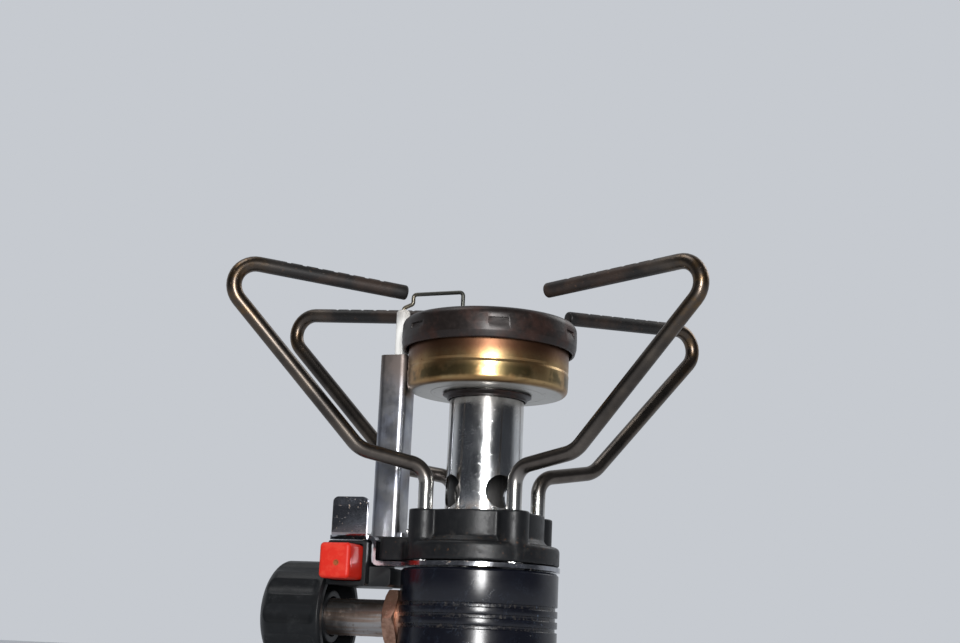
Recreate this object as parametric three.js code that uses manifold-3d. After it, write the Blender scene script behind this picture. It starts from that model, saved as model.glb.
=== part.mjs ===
// A backpacking canister stove: a valve body that screws onto a gas canister, a crown with four swinging
// wire arms, a burner head on a mixing tube, a control knob on the valve spindle and a push-button igniter
// on a bent bracket. Millimetres. +Z runs up the burner's axis, the knob points along -X and the button
// faces -Y.
// The origin is the middle of the opening pin's flat tip, which meets the canister's valve.
import * as THREE from "three";
import { mergeVertices } from "three/addons/utils/BufferGeometryUtils.js";
import Module from "manifold-3d";

const wasm = await Module();
wasm.setup();

// ---- Clearances ----
const joinGap = 0.3; // between pieces that are fastened or seated together
const runGap = 0.1; // radial, round pieces that turn
const slideGap = 0.2; // round the push button

// ---- Facets of a full turn ----
const bigSides = 32;
const tubeSides = 22;
const midSides = 18;
const smallSides = 12;

// ---- Valve body and canister connection ----
const bodyRadius = 16.75;
const bodyHeight = 36;
const rimBelowPin = 2.5; // the body's lower rim stands this far below the pin's tip
const bodyBottom = -rimBelowPin;
const bodyTop = bodyBottom + bodyHeight;
const grooveCount = 3;
const grooveTopDrop = 7.4; // from the body's top to the middle of the first groove
const groovePitch = 2.2;
const grooveWidth = 0.8;
const grooveDepth = 0.5;
const gripCount = 12;
const gripHeight = 7;
const gripRadius = 2.2;
const recessRadius = 13.5;
const recessDepth = 5;
const collarRadius = 8;
const collarTop = 9;
const threadMinorRadius = 5.2;
const threadDepth = 0.45;
const threadPitch = 0.907;
const pinRadius = 1.2;
const pinFlangeRadius = 3.1;
const pinFlangeThickness = 2;
const filterThickness = 2.2;
const jetBoreRadius = 2.9;
const jetBoreDepth = 4.9;

// ---- Valve spindle, gland nut and knob, all on one axis along X ----
const spindleZ = 23;
const spindleRadius = 4;
const stemRadius = 1.6;
const chamberRadius = 2.2;
const seatX = 2.2; // the needle's seat, from the stove's axis
const glandFloorX = 9;
const glandShankRadius = 5.2;
const spotFaceX = bodyRadius - 0.45;
const nutAcrossFlats = 12;
const nutThickness = 2.8;
const knobLength = 16.6;
const knobRadius = 11.8;
const knobDomeDepth = 5.2;
const fluteCount = 12;
const fluteRadius = 3.5;
const fluteDepth = 0.7;
const knobHubRadius = 5.7;
const knobShellRadius = 9.6; // inside the knob's skirt
const knobScrewHeadRadius = 2.4;
const knobScrewShankRadius = 0.9;

// ---- Bracket: one bent sheet with a plate, a step, a shelf and a tab ----
const sheet = 0.9;
const bendInside = 0.6;
const plateRadius = bodyRadius + 0.25;
const shelfRise = 5.3; // from the plate's underside to the shelf's underside
const riserX = -(bodyRadius + 4.55);
const bracketHalfWidth = 8;
const tabWidth = 7.9;
const tabHeight = 8.2;

// ---- Crown casting ----
const crownHeight = 10.6;
const flangeHeight = 4;
const crownRadius = bodyRadius + 0.05;
const tubeRadius = 8.2;
const tubeLedge = 1.2; // the tube stands on a ledge this wide
const screwRadius = 1.25;
const screwHeadRadius = 2;
const screwCircle = tubeRadius + screwHeadRadius + 0.8;
const ringRadius = screwCircle + screwHeadRadius + 0.4;
const earEndX = riserX + sheet / 2 + 0.35;
const earHalfWidth = bracketHalfWidth - 0.4;
const guardScrewRadius = 1;
const piezoScrewRadius = 0.9;

// ---- Pot-support arms ----
const legCircle = crownRadius - 3.1; // from the stove's axis to each arm's pivot
const wireRadius = 1.6;
const bossRadius = wireRadius + 1.7;
const crankHeight = 20.7; // above the bracket's plate, at the leg
const crankRise = 2.7;
const crankReach = 15;
const armReach = 51; // pivot to the corner where slant and bar would meet
const barOverCap = 4.1; // from the cap's top to the bar's middle
const barRise = 3; // the bar climbs this much towards its outer end
const tipReach = 6.5; // pivot to the bar's tip
const hairpinRadius = 4.7;
const notchCount = 7;
const notchPitch = 3.4;
const notchDepth = 0.35;
const footRadius = wireRadius + 0.8;
const footThickness = 1.2;
const washerThickness = 0.4;
const armNames = ["front_left", "front_right", "rear_right", "rear_left"];
const armLegAngles = [-135, -45, 45, 135];
const armDirections = [-143, -22, 50, 172];

// ---- Burner ----
const tubeWall = 0.7;
const airHoleRadius = 3.5;
const airHoleHeight = 16.2; // above the plate
const cupBottomHeight = 37.8; // above the plate
const cupHeight = 13.7;
const cupRadius = 17.6;
const cupWall = 0.8;
const cupCorner = 2.4;
const capSkirtDrop = 6.8; // the cap's skirt, from its top down
const capWall = 0.9;
const capRadius = cupRadius + 0.7 + capWall;
const capMouthRadius = 13.6;
const dimpleCount = 6;
const portRings = [
  [11.2, 18],
  [8.2, 12],
  [5.2, 8],
];
const portRadius = 0.75;
const portPlateThickness = 0.7;
const rivetRadius = 1;
const rivetHeadRadius = 2.4;
const baffleRadius = 11;
const baffleThickness = 0.6;

// ---- Electrode and its guard ----
const guardX = riserX - 3.1;
const guardWidth = 6.4;
const guardDepth = 6;
const guardFrontY = -3;
const guardTopDrop = capSkirtDrop + 0.4; // below the cap's top
const ceramicRadius = 1.5;
const ceramicOverCap = 4;
const ceramicBottomRise = 6; // above the guard's foot
const ceramicY = 2.2;
const electrodeRadius = 0.45;
const electrodeStep = 2.2; // above the insulator the wire steps this far towards the burner
const electrodeOverCap = 7.6;
const electrodeEnd = [-6.9, 1.2];
const leadRadius = 0.9;

// ---- Igniter ----
const buttonWidth = 6.8;
const buttonHeight = 7.4;
const buttonFrontY = -17;
const buttonRearY = -5;
const housingFrontY = -9.9;
const housingRearY = 8;
const housingWall = 0.8;
const partitionY = 1.6;
const plungerRadius = 1.3;
const unitRadius = 2.6;
const coverThickness = 1.1;

// ---- Levels that follow from the sizes above ----
const plateBottom = bodyTop + joinGap;
const plateTop = plateBottom + sheet;
const crownBottom = plateTop + joinGap;
const crownTop = crownBottom + crownHeight;
const flangeTop = crownBottom + flangeHeight;
const shelfBottom = plateBottom + shelfRise;
const shelfTop = shelfBottom + sheet;
const housingTop = shelfBottom - joinGap;
const buttonZ = housingTop - 0.7 - slideGap - buttonHeight / 2;
const housingBottom = buttonZ - buttonHeight / 2 - slideGap - housingWall;
const housingRight = riserX - sheet;
const buttonX = housingRight - housingWall - slideGap - buttonWidth / 2;
const housingLeft = buttonX - buttonWidth / 2 - slideGap - housingWall;
const shelfEndX = housingLeft - 0.4;
const knobInnerX = -shelfEndX;
const footTop = crownBottom + washerThickness + footThickness + 2 * runGap;
const cupBottom = plateBottom + cupBottomHeight;
const cupTop = cupBottom + cupHeight;
const portPlateBottom = cupTop + joinGap;
const portPlateTop = portPlateBottom + portPlateThickness;
const capUnderside = portPlateTop + joinGap;
const capTop = capUnderside + capWall;
const ceramicX = guardX + guardWidth / 2;
const guardBottom = shelfTop + joinGap;
const guardTop = capTop - guardTopDrop;
const ceramicBottom = guardBottom + sheet + ceramicBottomRise;
const ceramicTop = capTop + ceramicOverCap;
const barZ = capTop + barOverCap;
const pinFlangeBottom = collarTop + joinGap + 0.1;
const filterBottom = pinFlangeBottom + pinFlangeThickness + joinGap;
const filterChamberTop = filterBottom + filterThickness + 0.7;
const jetBoreBottom = bodyTop - jetBoreDepth;
const screwTipZ = plateBottom - 6;
const screwHeadSeat = crownTop - 3;
const piezoScrewTip = housingTop - 1.1;
const nutNearX = spotFaceX + joinGap;
const glandShankInnerX = glandFloorX + 3.5;
const hubFloor = 5; // the depths inside the knob are from its inner face
const boreEnd = 11;
const screwSeat = 12.6;
const ringGroove = [5.2, 6.8];
const ringGrooveRadius = 0.9;
const tubeBottom = crownBottom + 1.3 + joinGap;
const tubeTop = cupBottom + 2;
const baffleTop = cupTop - 4;

// ======== Geometry helpers ========

// Volume enclosed by a triangle list, negative when the faces point inwards.
function signedVolume(positions, triangles) {
  const [a, b, c] = [new THREE.Vector3(), new THREE.Vector3(), new THREE.Vector3()];
  let volume = 0;
  for (let i = 0; i < triangles.length; i += 3) {
    a.fromArray(positions, 3 * triangles[i]);
    b.fromArray(positions, 3 * triangles[i + 1]);
    c.fromArray(positions, 3 * triangles[i + 2]);
    volume += a.dot(b.cross(c)) / 6;
  }
  return volume;
}

// A closed geometry as a solid that can be joined and cut.
function solid(geometry) {
  const bare = geometry.clone();
  for (const name of Object.keys(bare.attributes)) {
    if (name !== "position") bare.deleteAttribute(name);
  }
  const merged = mergeVertices(bare, 1e-4);
  const positions = merged.attributes.position.array;
  const triangles = [];
  for (let i = 0; i < merged.index.count; i += 3) {
    const [a, b, c] = [merged.index.getX(i), merged.index.getX(i + 1), merged.index.getX(i + 2)];
    if (a !== b && b !== c && c !== a) triangles.push(a, b, c);
  }
  if (signedVolume(positions, triangles) < 0) triangles.reverse();
  const mesh = new wasm.Mesh({
    numProp: 3,
    vertProperties: new Float32Array(positions),
    triVerts: new Uint32Array(triangles),
  });
  return new wasm.Manifold(mesh);
}

// A solid back as a geometry.
function geometryOf(made) {
  const mesh = made.getMesh();
  const geometry = new THREE.BufferGeometry();
  geometry.setAttribute("position", new THREE.BufferAttribute(mesh.vertProperties, 3));
  geometry.setIndex(new THREE.BufferAttribute(mesh.triVerts, 1));
  geometry.computeVertexNormals();
  return geometry;
}

function join(first, ...others) {
  return geometryOf(others.reduce((made, other) => made.add(solid(other)), solid(first)));
}

function cut(first, ...others) {
  return geometryOf(others.reduce((made, other) => made.subtract(solid(other)), solid(first)));
}

// A profile of [radius, height] points turned about Z.
function turned(profile, sides) {
  const points = profile.map(([radius, height]) => new THREE.Vector2(radius, height));
  return new THREE.LatheGeometry(points, sides).rotateX(Math.PI / 2);
}

// The same, turned about the spindle's axis; heights are distances from the stove's axis towards -X.
function turnedOnSpindle(profile, sides) {
  return turned(profile, sides).rotateY(-Math.PI / 2).translate(0, 0, spindleZ);
}

function rod(radius, low, high, sides) {
  return turned([[0, low], [radius, low], [radius, high], [0, high]], sides);
}

// The corner radius of a faceted hole whose flats clear a round piece.
function holeRadius(radius, clearance, sides) {
  return (radius + clearance) / Math.cos(Math.PI / sides);
}

// A round hole about Z that clears a round piece.
function bore(radius, clearance, low, high, sides) {
  return rod(holeRadius(radius, clearance, sides), low, high, sides);
}

function boreOnSpindle(radius, clearance, near, far, sides) {
  const wide = holeRadius(radius, clearance, sides);
  return turnedOnSpindle([[0, near], [wide, near], [wide, far], [0, far]], sides);
}

function block(x0, x1, y0, y1, z0, z1) {
  const box = new THREE.BoxGeometry(x1 - x0, y1 - y0, z1 - z0);
  return box.translate((x0 + x1) / 2, (y0 + y1) / 2, (z0 + z1) / 2);
}

// A ring of round section about Z.
function ring(centreRadius, sectionRadius, height, sides) {
  const geometry = new THREE.TorusGeometry(centreRadius, sectionRadius, 7, sides);
  return geometry.translate(0, 0, height);
}

function degrees(angle) {
  return THREE.MathUtils.degToRad(angle);
}

// Points of an arc in a profile, from one angle to another.
function arc(centreA, centreB, radiusA, radiusB, from, to, steps) {
  const points = [];
  for (let i = 0; i <= steps; i += 1) {
    const angle = degrees(from + ((to - from) * i) / steps);
    points.push([centreA + radiusA * Math.cos(angle), centreB + radiusB * Math.sin(angle)]);
  }
  return points;
}

// A line through corners, with each inner corner rounded, as stations with their directions.
function roundedStations(corners, radii, steps) {
  const stations = [];
  const last = corners.length - 1;
  const direction = (i) => corners[i + 1].clone().sub(corners[i]).normalize();
  stations.push({ point: corners[0].clone(), along: direction(0) });
  for (let i = 1; i < last; i += 1) {
    const before = direction(i - 1);
    const after = direction(i);
    const turn = before.angleTo(after);
    const setback = radii[i - 1] * Math.tan(turn / 2);
    const start = corners[i].clone().addScaledVector(before, -setback);
    const inward = after.clone().addScaledVector(before, -before.dot(after)).normalize();
    for (let k = 0; k <= steps; k += 1) {
      const angle = (turn * k) / steps;
      const point = start.clone();
      point.addScaledVector(before, radii[i - 1] * Math.sin(angle));
      point.addScaledVector(inward, radii[i - 1] * (1 - Math.cos(angle)));
      const along = before.clone().multiplyScalar(Math.cos(angle));
      along.addScaledVector(inward, Math.sin(angle));
      stations.push({ point, along });
    }
  }
  stations.push({ point: corners[last].clone(), along: direction(last - 1) });
  return stations;
}

// The path of a bent wire: one station after another, so that the straight stretches take one step each.
class BentWire extends THREE.Curve {
  constructor(corners, radii, steps) {
    super();
    this.stations = roundedStations(corners, radii, steps);
    this.steps = this.stations.length - 1;
  }

  getPoint(t, target = new THREE.Vector3()) {
    return target.copy(this.stations[Math.round(t * this.steps)].point);
  }

  getPointAt(t, target) {
    return this.getPoint(t, target);
  }

  getTangentAt(t, target = new THREE.Vector3()) {
    return target.copy(this.stations[Math.round(t * this.steps)].along);
  }
}

// A round wire along a bent path.
function wireAlong(corners, radii, radius, sides, steps) {
  const path = new BentWire(corners, radii, steps);
  const section = new THREE.Shape();
  for (let i = 0; i < sides; i += 1) {
    const angle = (2 * Math.PI * (i + 0.5)) / sides;
    const [x, y] = [radius * Math.cos(angle), radius * Math.sin(angle)];
    if (i === 0) section.moveTo(x, y);
    else section.lineTo(x, y);
  }
  section.closePath();
  return new THREE.ExtrudeGeometry(section, { steps: path.steps, extrudePath: path, curveSegments: 1 });
}

// The outline of a bent strip of sheet whose middle line runs through the corners.
function stripOutline(corners) {
  const middle = bendInside + sheet / 2;
  const points = corners.map(([a, b]) => new THREE.Vector3(a, b, 0));
  const stations = roundedStations(points, corners.map(() => middle), 4);
  const side = (sign) =>
    stations.map(({ point, along }) => [
      point.x - (sign * along.y * sheet) / 2,
      point.y + (sign * along.x * sheet) / 2,
    ]);
  return [...side(1), ...side(-1).reverse()];
}

function shapeOf(outline) {
  return new THREE.Shape(outline.map(([x, y]) => new THREE.Vector2(x, y)));
}

// An outline in X and Y, pulled up from one height to another.
function extrudedAlongZ(outline, low, high) {
  const geometry = new THREE.ExtrudeGeometry(shapeOf(outline), { depth: high - low, bevelEnabled: false });
  return geometry.translate(0, 0, low);
}

// An outline in X and Z, pulled along Y.
function extrudedAlongY(outline, y0, y1) {
  const geometry = new THREE.ExtrudeGeometry(shapeOf(outline), { depth: y1 - y0, bevelEnabled: false });
  return geometry.rotateX(Math.PI / 2).translate(0, y1, 0);
}

// An outline in Y and Z, pulled along X.
function extrudedAlongX(outline, x0, x1) {
  const geometry = new THREE.ExtrudeGeometry(shapeOf(outline), { depth: x1 - x0, bevelEnabled: false });
  return geometry.rotateX(Math.PI / 2).rotateZ(Math.PI / 2).translate(x0, 0, 0);
}

// A rectangle with rounded corners, as outline points.
function roundedRectangle(centreA, centreB, width, height, radius) {
  const [a, b] = [width / 2 - radius, height / 2 - radius];
  return [
    ...arc(centreA + a, centreB + b, radius, radius, 0, 90, 3),
    ...arc(centreA - a, centreB + b, radius, radius, 90, 180, 3),
    ...arc(centreA - a, centreB - b, radius, radius, 180, 270, 3),
    ...arc(centreA + a, centreB - b, radius, radius, 270, 360, 3),
  ];
}

// Where the four arms pivot, and where the three crown screws go.
const onCircle = (radius, angle) => [radius * Math.cos(degrees(angle)), radius * Math.sin(degrees(angle))];
const legPlaces = armLegAngles.map((angle) => onCircle(legCircle, angle));
const screwPlaces = [0, 90, 270].map((angle) => onCircle(screwCircle, angle));
const guardScrewPlace = [riserX + 2.3, 6];
const piezoScrewPlace = [shelfEndX + 3.4, 5.4];

// ======== Valve body and canister connection ========

// The body's outside, with its turned grooves.
function bodyBlank() {
  const chamfer = 0.5;
  const profile = [[0, bodyBottom], [bodyRadius - 1.1, bodyBottom], [bodyRadius, bodyBottom + 1.1]];
  for (let i = grooveCount - 1; i >= 0; i -= 1) {
    const middle = bodyTop - grooveTopDrop - i * groovePitch;
    profile.push([bodyRadius, middle - grooveWidth / 2]);
    profile.push([bodyRadius - grooveDepth, middle - grooveWidth / 2]);
    profile.push([bodyRadius - grooveDepth, middle + grooveWidth / 2]);
    profile.push([bodyRadius, middle + grooveWidth / 2]);
  }
  profile.push([bodyRadius, bodyTop - chamfer], [bodyRadius - chamfer, bodyTop], [0, bodyTop]);
  return turned(profile, bigSides);
}

function valveBody() {
  const socketTop = collarTop + joinGap;
  const inletX = -(seatX + 1.4);
  const [inletRadius, outletRadius, seatRadius, nutRecessRadius] = [1.2, 1.1, 0.9, 7.5];
  const cuts = [
    bore(recessRadius, 0, bodyBottom - 1, bodyBottom + recessDepth, bigSides),
    bore(collarRadius, joinGap, bodyBottom, socketTop, midSides),
    bore(pinFlangeRadius, joinGap, socketTop - 1, filterChamberTop, midSides),
    rod(inletRadius, filterChamberTop - 0.5, spindleZ, smallSides).translate(inletX, 0, 0),
    rod(outletRadius, spindleZ, jetBoreBottom + 0.5, smallSides),
    bore(jetBoreRadius, 0, jetBoreBottom, bodyTop + 1, midSides),
    boreOnSpindle(seatRadius, 0, -0.6, seatX + 0.1, smallSides),
    boreOnSpindle(chamberRadius, 0, seatX, glandFloorX + 0.1, midSides),
    boreOnSpindle(glandShankRadius, joinGap, glandFloorX, spotFaceX + 1, midSides),
    boreOnSpindle(nutRecessRadius, 0, spotFaceX, bodyRadius + 2, midSides),
  ];
  for (const [x, y] of screwPlaces) {
    cuts.push(bore(screwRadius, joinGap / 2, screwTipZ - 1, bodyTop + 1, smallSides).translate(x, y, 0));
  }
  for (let i = 0; i < gripCount; i += 1) {
    const [x, y] = onCircle(bodyRadius + gripRadius - 0.6, (360 * (i + 0.5)) / gripCount);
    cuts.push(rod(gripRadius, bodyBottom - 1, bodyBottom + gripHeight, 8).translate(x, y, 0));
  }
  return cut(bodyBlank(), ...cuts);
}

// A brass insert whose bore carries the thread, cut here as rings of the thread's pitch.
function canisterCollar() {
  const bottom = bodyBottom + 0.5;
  const profile = [[threadMinorRadius + 0.6, bottom], [collarRadius - 0.4, bottom]];
  profile.push([collarRadius, bottom + 0.4], [collarRadius, collarTop], [threadMinorRadius, collarTop]);
  const turns = Math.floor((collarTop - bottom - 5) / threadPitch);
  for (let i = 0; i < turns; i += 1) {
    const top = collarTop - 2 - i * threadPitch;
    profile.push([threadMinorRadius, top]);
    profile.push([threadMinorRadius + threadDepth, top - threadPitch / 2]);
  }
  profile.push([threadMinorRadius, bottom + 0.6], [threadMinorRadius + 0.6, bottom]);
  return turned(profile, midSides);
}

function canisterSeal() {
  const sectionRadius = 0.9;
  return ring(threadMinorRadius - 1.6, sectionRadius, collarTop - sectionRadius, midSides);
}

// The pin pushes the canister's valve open; gas enters its cross hole and leaves at its flange.
function openingPin() {
  const flangeTopZ = pinFlangeBottom + pinFlangeThickness;
  const drillBottom = 5;
  const drillRadius = 0.6;
  const pin = turned(
    [
      [0, 0],
      [pinRadius, 0],
      [pinRadius, pinFlangeBottom],
      [pinFlangeRadius, pinFlangeBottom],
      [pinFlangeRadius, flangeTopZ],
      [drillRadius, flangeTopZ],
      [drillRadius, drillBottom],
      [0, drillBottom],
    ],
    midSides,
  );
  const crossHole = rod(0.45, -2, 2, 8).rotateY(Math.PI / 2).translate(0, 0, drillBottom + drillRadius);
  return cut(pin, crossHole);
}

function inletFilter() {
  return rod(pinFlangeRadius, filterBottom, filterBottom + filterThickness, midSides);
}

// ======== Valve spindle, gland nut and knob ========

function glandNut() {
  const corner = nutAcrossFlats / 2 / Math.cos(degrees(30));
  const hexagon = new THREE.CylinderGeometry(corner, corner, nutThickness, 6);
  hexagon.rotateZ(Math.PI / 2).rotateX(Math.PI / 2);
  hexagon.translate(-nutNearX - nutThickness / 2, 0, spindleZ);
  const shank = boreOnSpindle(glandShankRadius, 0, glandShankInnerX, nutNearX + 1, midSides);
  const passage = boreOnSpindle(spindleRadius, runGap, glandShankInnerX - 1, nutNearX + 9, midSides);
  return cut(join(hexagon, shank), passage);
}

function glandPacking() {
  const inner = holeRadius(stemRadius, runGap, midSides);
  const thickness = 1.3;
  const [near, far] = [glandFloorX + joinGap, glandFloorX + joinGap + thickness];
  const outer = glandShankRadius;
  return turnedOnSpindle([[inner, near], [outer, near], [outer, far], [inner, far], [inner, near]], midSides);
}

// The needle, the stem with its ring groove, the thick shaft and the stub that the knob sits on.
function valveSpindle() {
  const shoulder = glandFloorX + 2.3;
  const shaftEnd = knobInnerX + hubFloor - joinGap;
  const stubEnd = knobInnerX + boreEnd - joinGap;
  const stubRadius = 2.5;
  return turnedOnSpindle(
    [
      [0, seatX - 0.7],
      [0.35, seatX - 0.7],
      [1.1, seatX + 1],
      [stemRadius, seatX + 1.2],
      [stemRadius, ringGroove[0]],
      [ringGrooveRadius, ringGroove[0]],
      [ringGrooveRadius, ringGroove[1]],
      [stemRadius, ringGroove[1]],
      [stemRadius, shoulder],
      [spindleRadius, shoulder],
      [spindleRadius, shaftEnd],
      [stubRadius, shaftEnd],
      [stubRadius, stubEnd],
      [knobScrewShankRadius + joinGap, stubEnd],
      [knobScrewShankRadius + joinGap, stubEnd - 5],
      [0, stubEnd - 5],
    ],
    midSides,
  );
}

function spindleRing() {
  const middle = (ringGroove[0] + ringGroove[1]) / 2;
  const sectionRadius = 0.5;
  const innerRadius = holeRadius(ringGrooveRadius, runGap, midSides);
  const flat = ring(innerRadius + sectionRadius, sectionRadius, middle, midSides);
  return flat.rotateY(-Math.PI / 2).translate(0, 0, spindleZ);
}

// A fluted cap with a domed end, a hollow inner face and a hub for the spindle's stub.
function knob() {
  const x = (t) => knobInnerX + t;
  const domeStart = knobLength - knobDomeDepth;
  const screwWell = knobScrewHeadRadius + 0.4;
  const dome = arc(0, x(domeStart), knobRadius, knobDomeDepth, 0, 76, 5);
  const blank = turnedOnSpindle(
    [
      [spindleRadius + joinGap, x(1.5)],
      [knobHubRadius, x(1.5)],
      [knobHubRadius, x(9)],
      [knobShellRadius, x(9)],
      [knobShellRadius, x(0.4)],
      [knobShellRadius + 0.4, x(0)],
      [knobRadius - 0.5, x(0)],
      [knobRadius, x(0.5)],
      ...dome,
      [screwWell, x(knobLength - 0.15)],
      [screwWell, x(screwSeat)],
      [knobScrewShankRadius + 0.4, x(screwSeat)],
      [knobScrewShankRadius + 0.4, x(boreEnd)],
      [2.8, x(boreEnd)],
      [2.8, x(hubFloor)],
      [spindleRadius + joinGap, x(hubFloor)],
      [spindleRadius + joinGap, x(1.5)],
    ],
    midSides + 6,
  );
  const flutes = [];
  for (let i = 0; i < fluteCount; i += 1) {
    const [y, z] = onCircle(knobRadius + fluteRadius - fluteDepth, (360 * i) / fluteCount);
    const flute = rod(fluteRadius, x(1.5), x(knobLength + 1), 12).rotateY(-Math.PI / 2);
    flutes.push(flute.translate(0, y, spindleZ + z));
  }
  return cut(blank, ...flutes);
}

function knobScrew() {
  const seat = knobInnerX + screwSeat + joinGap;
  const [headRadius, headTop, shank] = [knobScrewHeadRadius, seat + 1.7, knobScrewShankRadius];
  const tip = knobInnerX + boreEnd - joinGap - 4;
  const screw = turnedOnSpindle(
    [
      [0, tip],
      [shank, tip],
      [shank, seat],
      [headRadius, seat],
      [headRadius, headTop - 0.5],
      [headRadius - 0.5, headTop],
      [0, headTop],
    ],
    smallSides,
  );
  return cut(screw, block(-headTop - 1, -headTop + 0.7, -3, 3, spindleZ - 0.3, spindleZ + 0.3));
}

// ======== Bracket and crown ========

function bracket() {
  const plateMiddle = plateBottom + sheet / 2;
  const shelfMiddle = shelfBottom + sheet / 2;
  const [low, high] = [plateMiddle, shelfMiddle];
  const step = stripOutline([[0, low], [riserX, low], [riserX, high], [shelfEndX, high]]);
  const strip = extrudedAlongY(step, -bracketHalfWidth, bracketHalfWidth);
  const tabMiddle = -bracketHalfWidth - sheet / 2;
  const tabTop = shelfTop + tabHeight;
  const tabFoot = [[tabMiddle + 4, shelfMiddle], [tabMiddle, shelfMiddle], [tabMiddle, tabTop - 2]];
  const corner = stripOutline(tabFoot);
  const tabX = buttonX - 0.3;
  const tabFace = roundedRectangle(tabX, tabTop - 2.5, tabWidth, 5, 1.2);
  const tab = join(
    extrudedAlongX(corner, tabX - tabWidth / 2, tabX + tabWidth / 2),
    extrudedAlongY(tabFace, tabMiddle - sheet / 2, tabMiddle + sheet / 2),
  );
  const plate = rod(plateRadius, plateBottom, plateTop, bigSides);
  const holes = [bore(tubeRadius, -tubeLedge, plateBottom - 1, plateTop + 1, midSides)];
  for (const [x, y] of screwPlaces) {
    holes.push(bore(screwRadius, joinGap, plateBottom - 1, plateTop + 1, smallSides).translate(x, y, 0));
  }
  const [x, y] = piezoScrewPlace;
  holes.push(bore(piezoScrewRadius, joinGap, shelfBottom - 1, shelfTop + 1, smallSides).translate(x, y, 0));
  return cut(join(plate, strip, tab), ...holes);
}

// The casting: a flange, a ring wall, four bosses for the arms' legs and an ear that fills the bracket's
// step.
function crown() {
  const edge = 0.9;
  const flange = turned(
    [
      [0, crownBottom],
      [crownRadius, crownBottom],
      ...arc(crownRadius - edge, flangeTop - edge, edge, edge, 0, 90, 3),
      [0, flangeTop],
    ],
    bigSides,
  );
  const ringWall = turned(
    [
      [0, flangeTop - 1],
      [ringRadius + 0.7, flangeTop - 1],
      [ringRadius + 0.7, flangeTop + 0.5],
      [ringRadius, flangeTop + 0.9],
      [ringRadius, crownTop],
      [0, crownTop],
    ],
    bigSides,
  );
  const ear = roundedRectangle((earEndX - 8) / 2, 0, -8 - earEndX, 2 * earHalfWidth, 1.2);
  const solids = [ringWall, extrudedAlongZ(ear, crownBottom, shelfTop)];
  const holes = [
    bore(tubeRadius, joinGap, crownBottom + 1.3, crownTop + 1, midSides),
    rod(tubeRadius - tubeLedge, crownBottom - 1, crownBottom + 2, midSides),
  ];
  for (const [x, y] of legPlaces) {
    const boss = turned(
      [
        [0, crownBottom],
        [bossRadius, crownBottom],
        [bossRadius, crownTop - 0.4],
        [bossRadius - 0.4, crownTop],
        [0, crownTop],
      ],
      midSides,
    );
    solids.push(boss.translate(x, y, 0));
    holes.push(bore(wireRadius, runGap, crownBottom, crownTop + 1, smallSides).translate(x, y, 0));
    holes.push(bore(footRadius, runGap, crownBottom - 1, footTop + runGap, smallSides).translate(x, y, 0));
  }
  for (const [x, y] of screwPlaces) {
    holes.push(bore(screwRadius, joinGap, crownBottom - 1, crownTop + 1, smallSides).translate(x, y, 0));
    const headWell = bore(screwHeadRadius, joinGap / 2, screwHeadSeat, crownTop + 1, smallSides);
    holes.push(headWell.translate(x, y, 0));
  }
  const [x, y] = guardScrewPlace;
  const earHole = bore(guardScrewRadius, joinGap / 2, shelfTop - 4.2, shelfTop + 1, smallSides);
  holes.push(earHole.translate(x, y, 0));
  return cut(join(flange, ...solids), ...holes);
}

// A cheese-head screw about Z with a driver slot.
function screw(shankRadius, headRadius, tip, seat, headHeight) {
  const body = turned(
    [
      [0, tip],
      [shankRadius, tip],
      [shankRadius, seat],
      [headRadius, seat],
      [headRadius, seat + headHeight],
      [0, seat + headHeight],
    ],
    smallSides,
  );
  const top = seat + headHeight;
  const slot = block(-headRadius - 1, headRadius + 1, -0.25, 0.25, top - 0.6, top + 1);
  return cut(body, slot);
}

function crownScrew() {
  return screw(screwRadius, screwHeadRadius, screwTipZ, screwHeadSeat + joinGap, 1.8);
}

// ======== Pot-support arms ========

// One arm about its own pivot: a leg, a crank, a slant, a hairpin and a notched bar, all in one plane.
function arm() {
  const footBottom = crownBottom + washerThickness + runGap;
  const crankZ = plateBottom + crankHeight;
  const corners = [
    [0, footBottom],
    [0, crankZ],
    [crankReach, crankZ + crankRise],
    [armReach, barZ + barRise],
    [tipReach, barZ],
  ].map(([s, z]) => new THREE.Vector3(s, 0, z));
  const wire = wireAlong(corners, [4.2, 6.5, hairpinRadius], wireRadius, 10, 5);
  const foot = rod(footRadius, footBottom, footBottom + footThickness, smallSides);
  const climb = Math.atan2(barRise, armReach - tipReach);
  const notches = [];
  for (let i = 0; i < notchCount; i += 1) {
    const along = tipReach + 6 + i * notchPitch;
    const rise = (along - tipReach) * Math.tan(climb);
    const notch = block(-0.55, 0.55, -2, 2, wireRadius - notchDepth, wireRadius + 1);
    notches.push(notch.rotateY(-climb).translate(along, 0, barZ + rise));
  }
  return cut(join(wire, foot), ...notches);
}

// A thin spring washer under each arm's foot.
function armWasher() {
  const [inner, outer] = [1, footRadius - 0.05];
  const [low, high] = [plateTop + joinGap / 2, plateTop + joinGap / 2 + washerThickness];
  return turned([[inner, low], [outer, low], [outer, high], [inner, high], [inner, low]], smallSides);
}

// ======== Burner ========

function mixingTube() {
  const inner = tubeRadius - tubeWall;
  const outer = tubeRadius;
  const wall = [[inner, tubeBottom], [outer, tubeBottom], [outer, tubeTop], [inner, tubeTop]];
  const tube = turned([...wall, wall[0]], tubeSides);
  const holeZ = plateBottom + airHoleHeight;
  const drills = [45, 135].map((angle) =>
    rod(airHoleRadius, -12, 12, 16).rotateY(Math.PI / 2).rotateZ(degrees(angle)).translate(0, 0, holeZ),
  );
  return cut(tube, ...drills);
}

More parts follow.
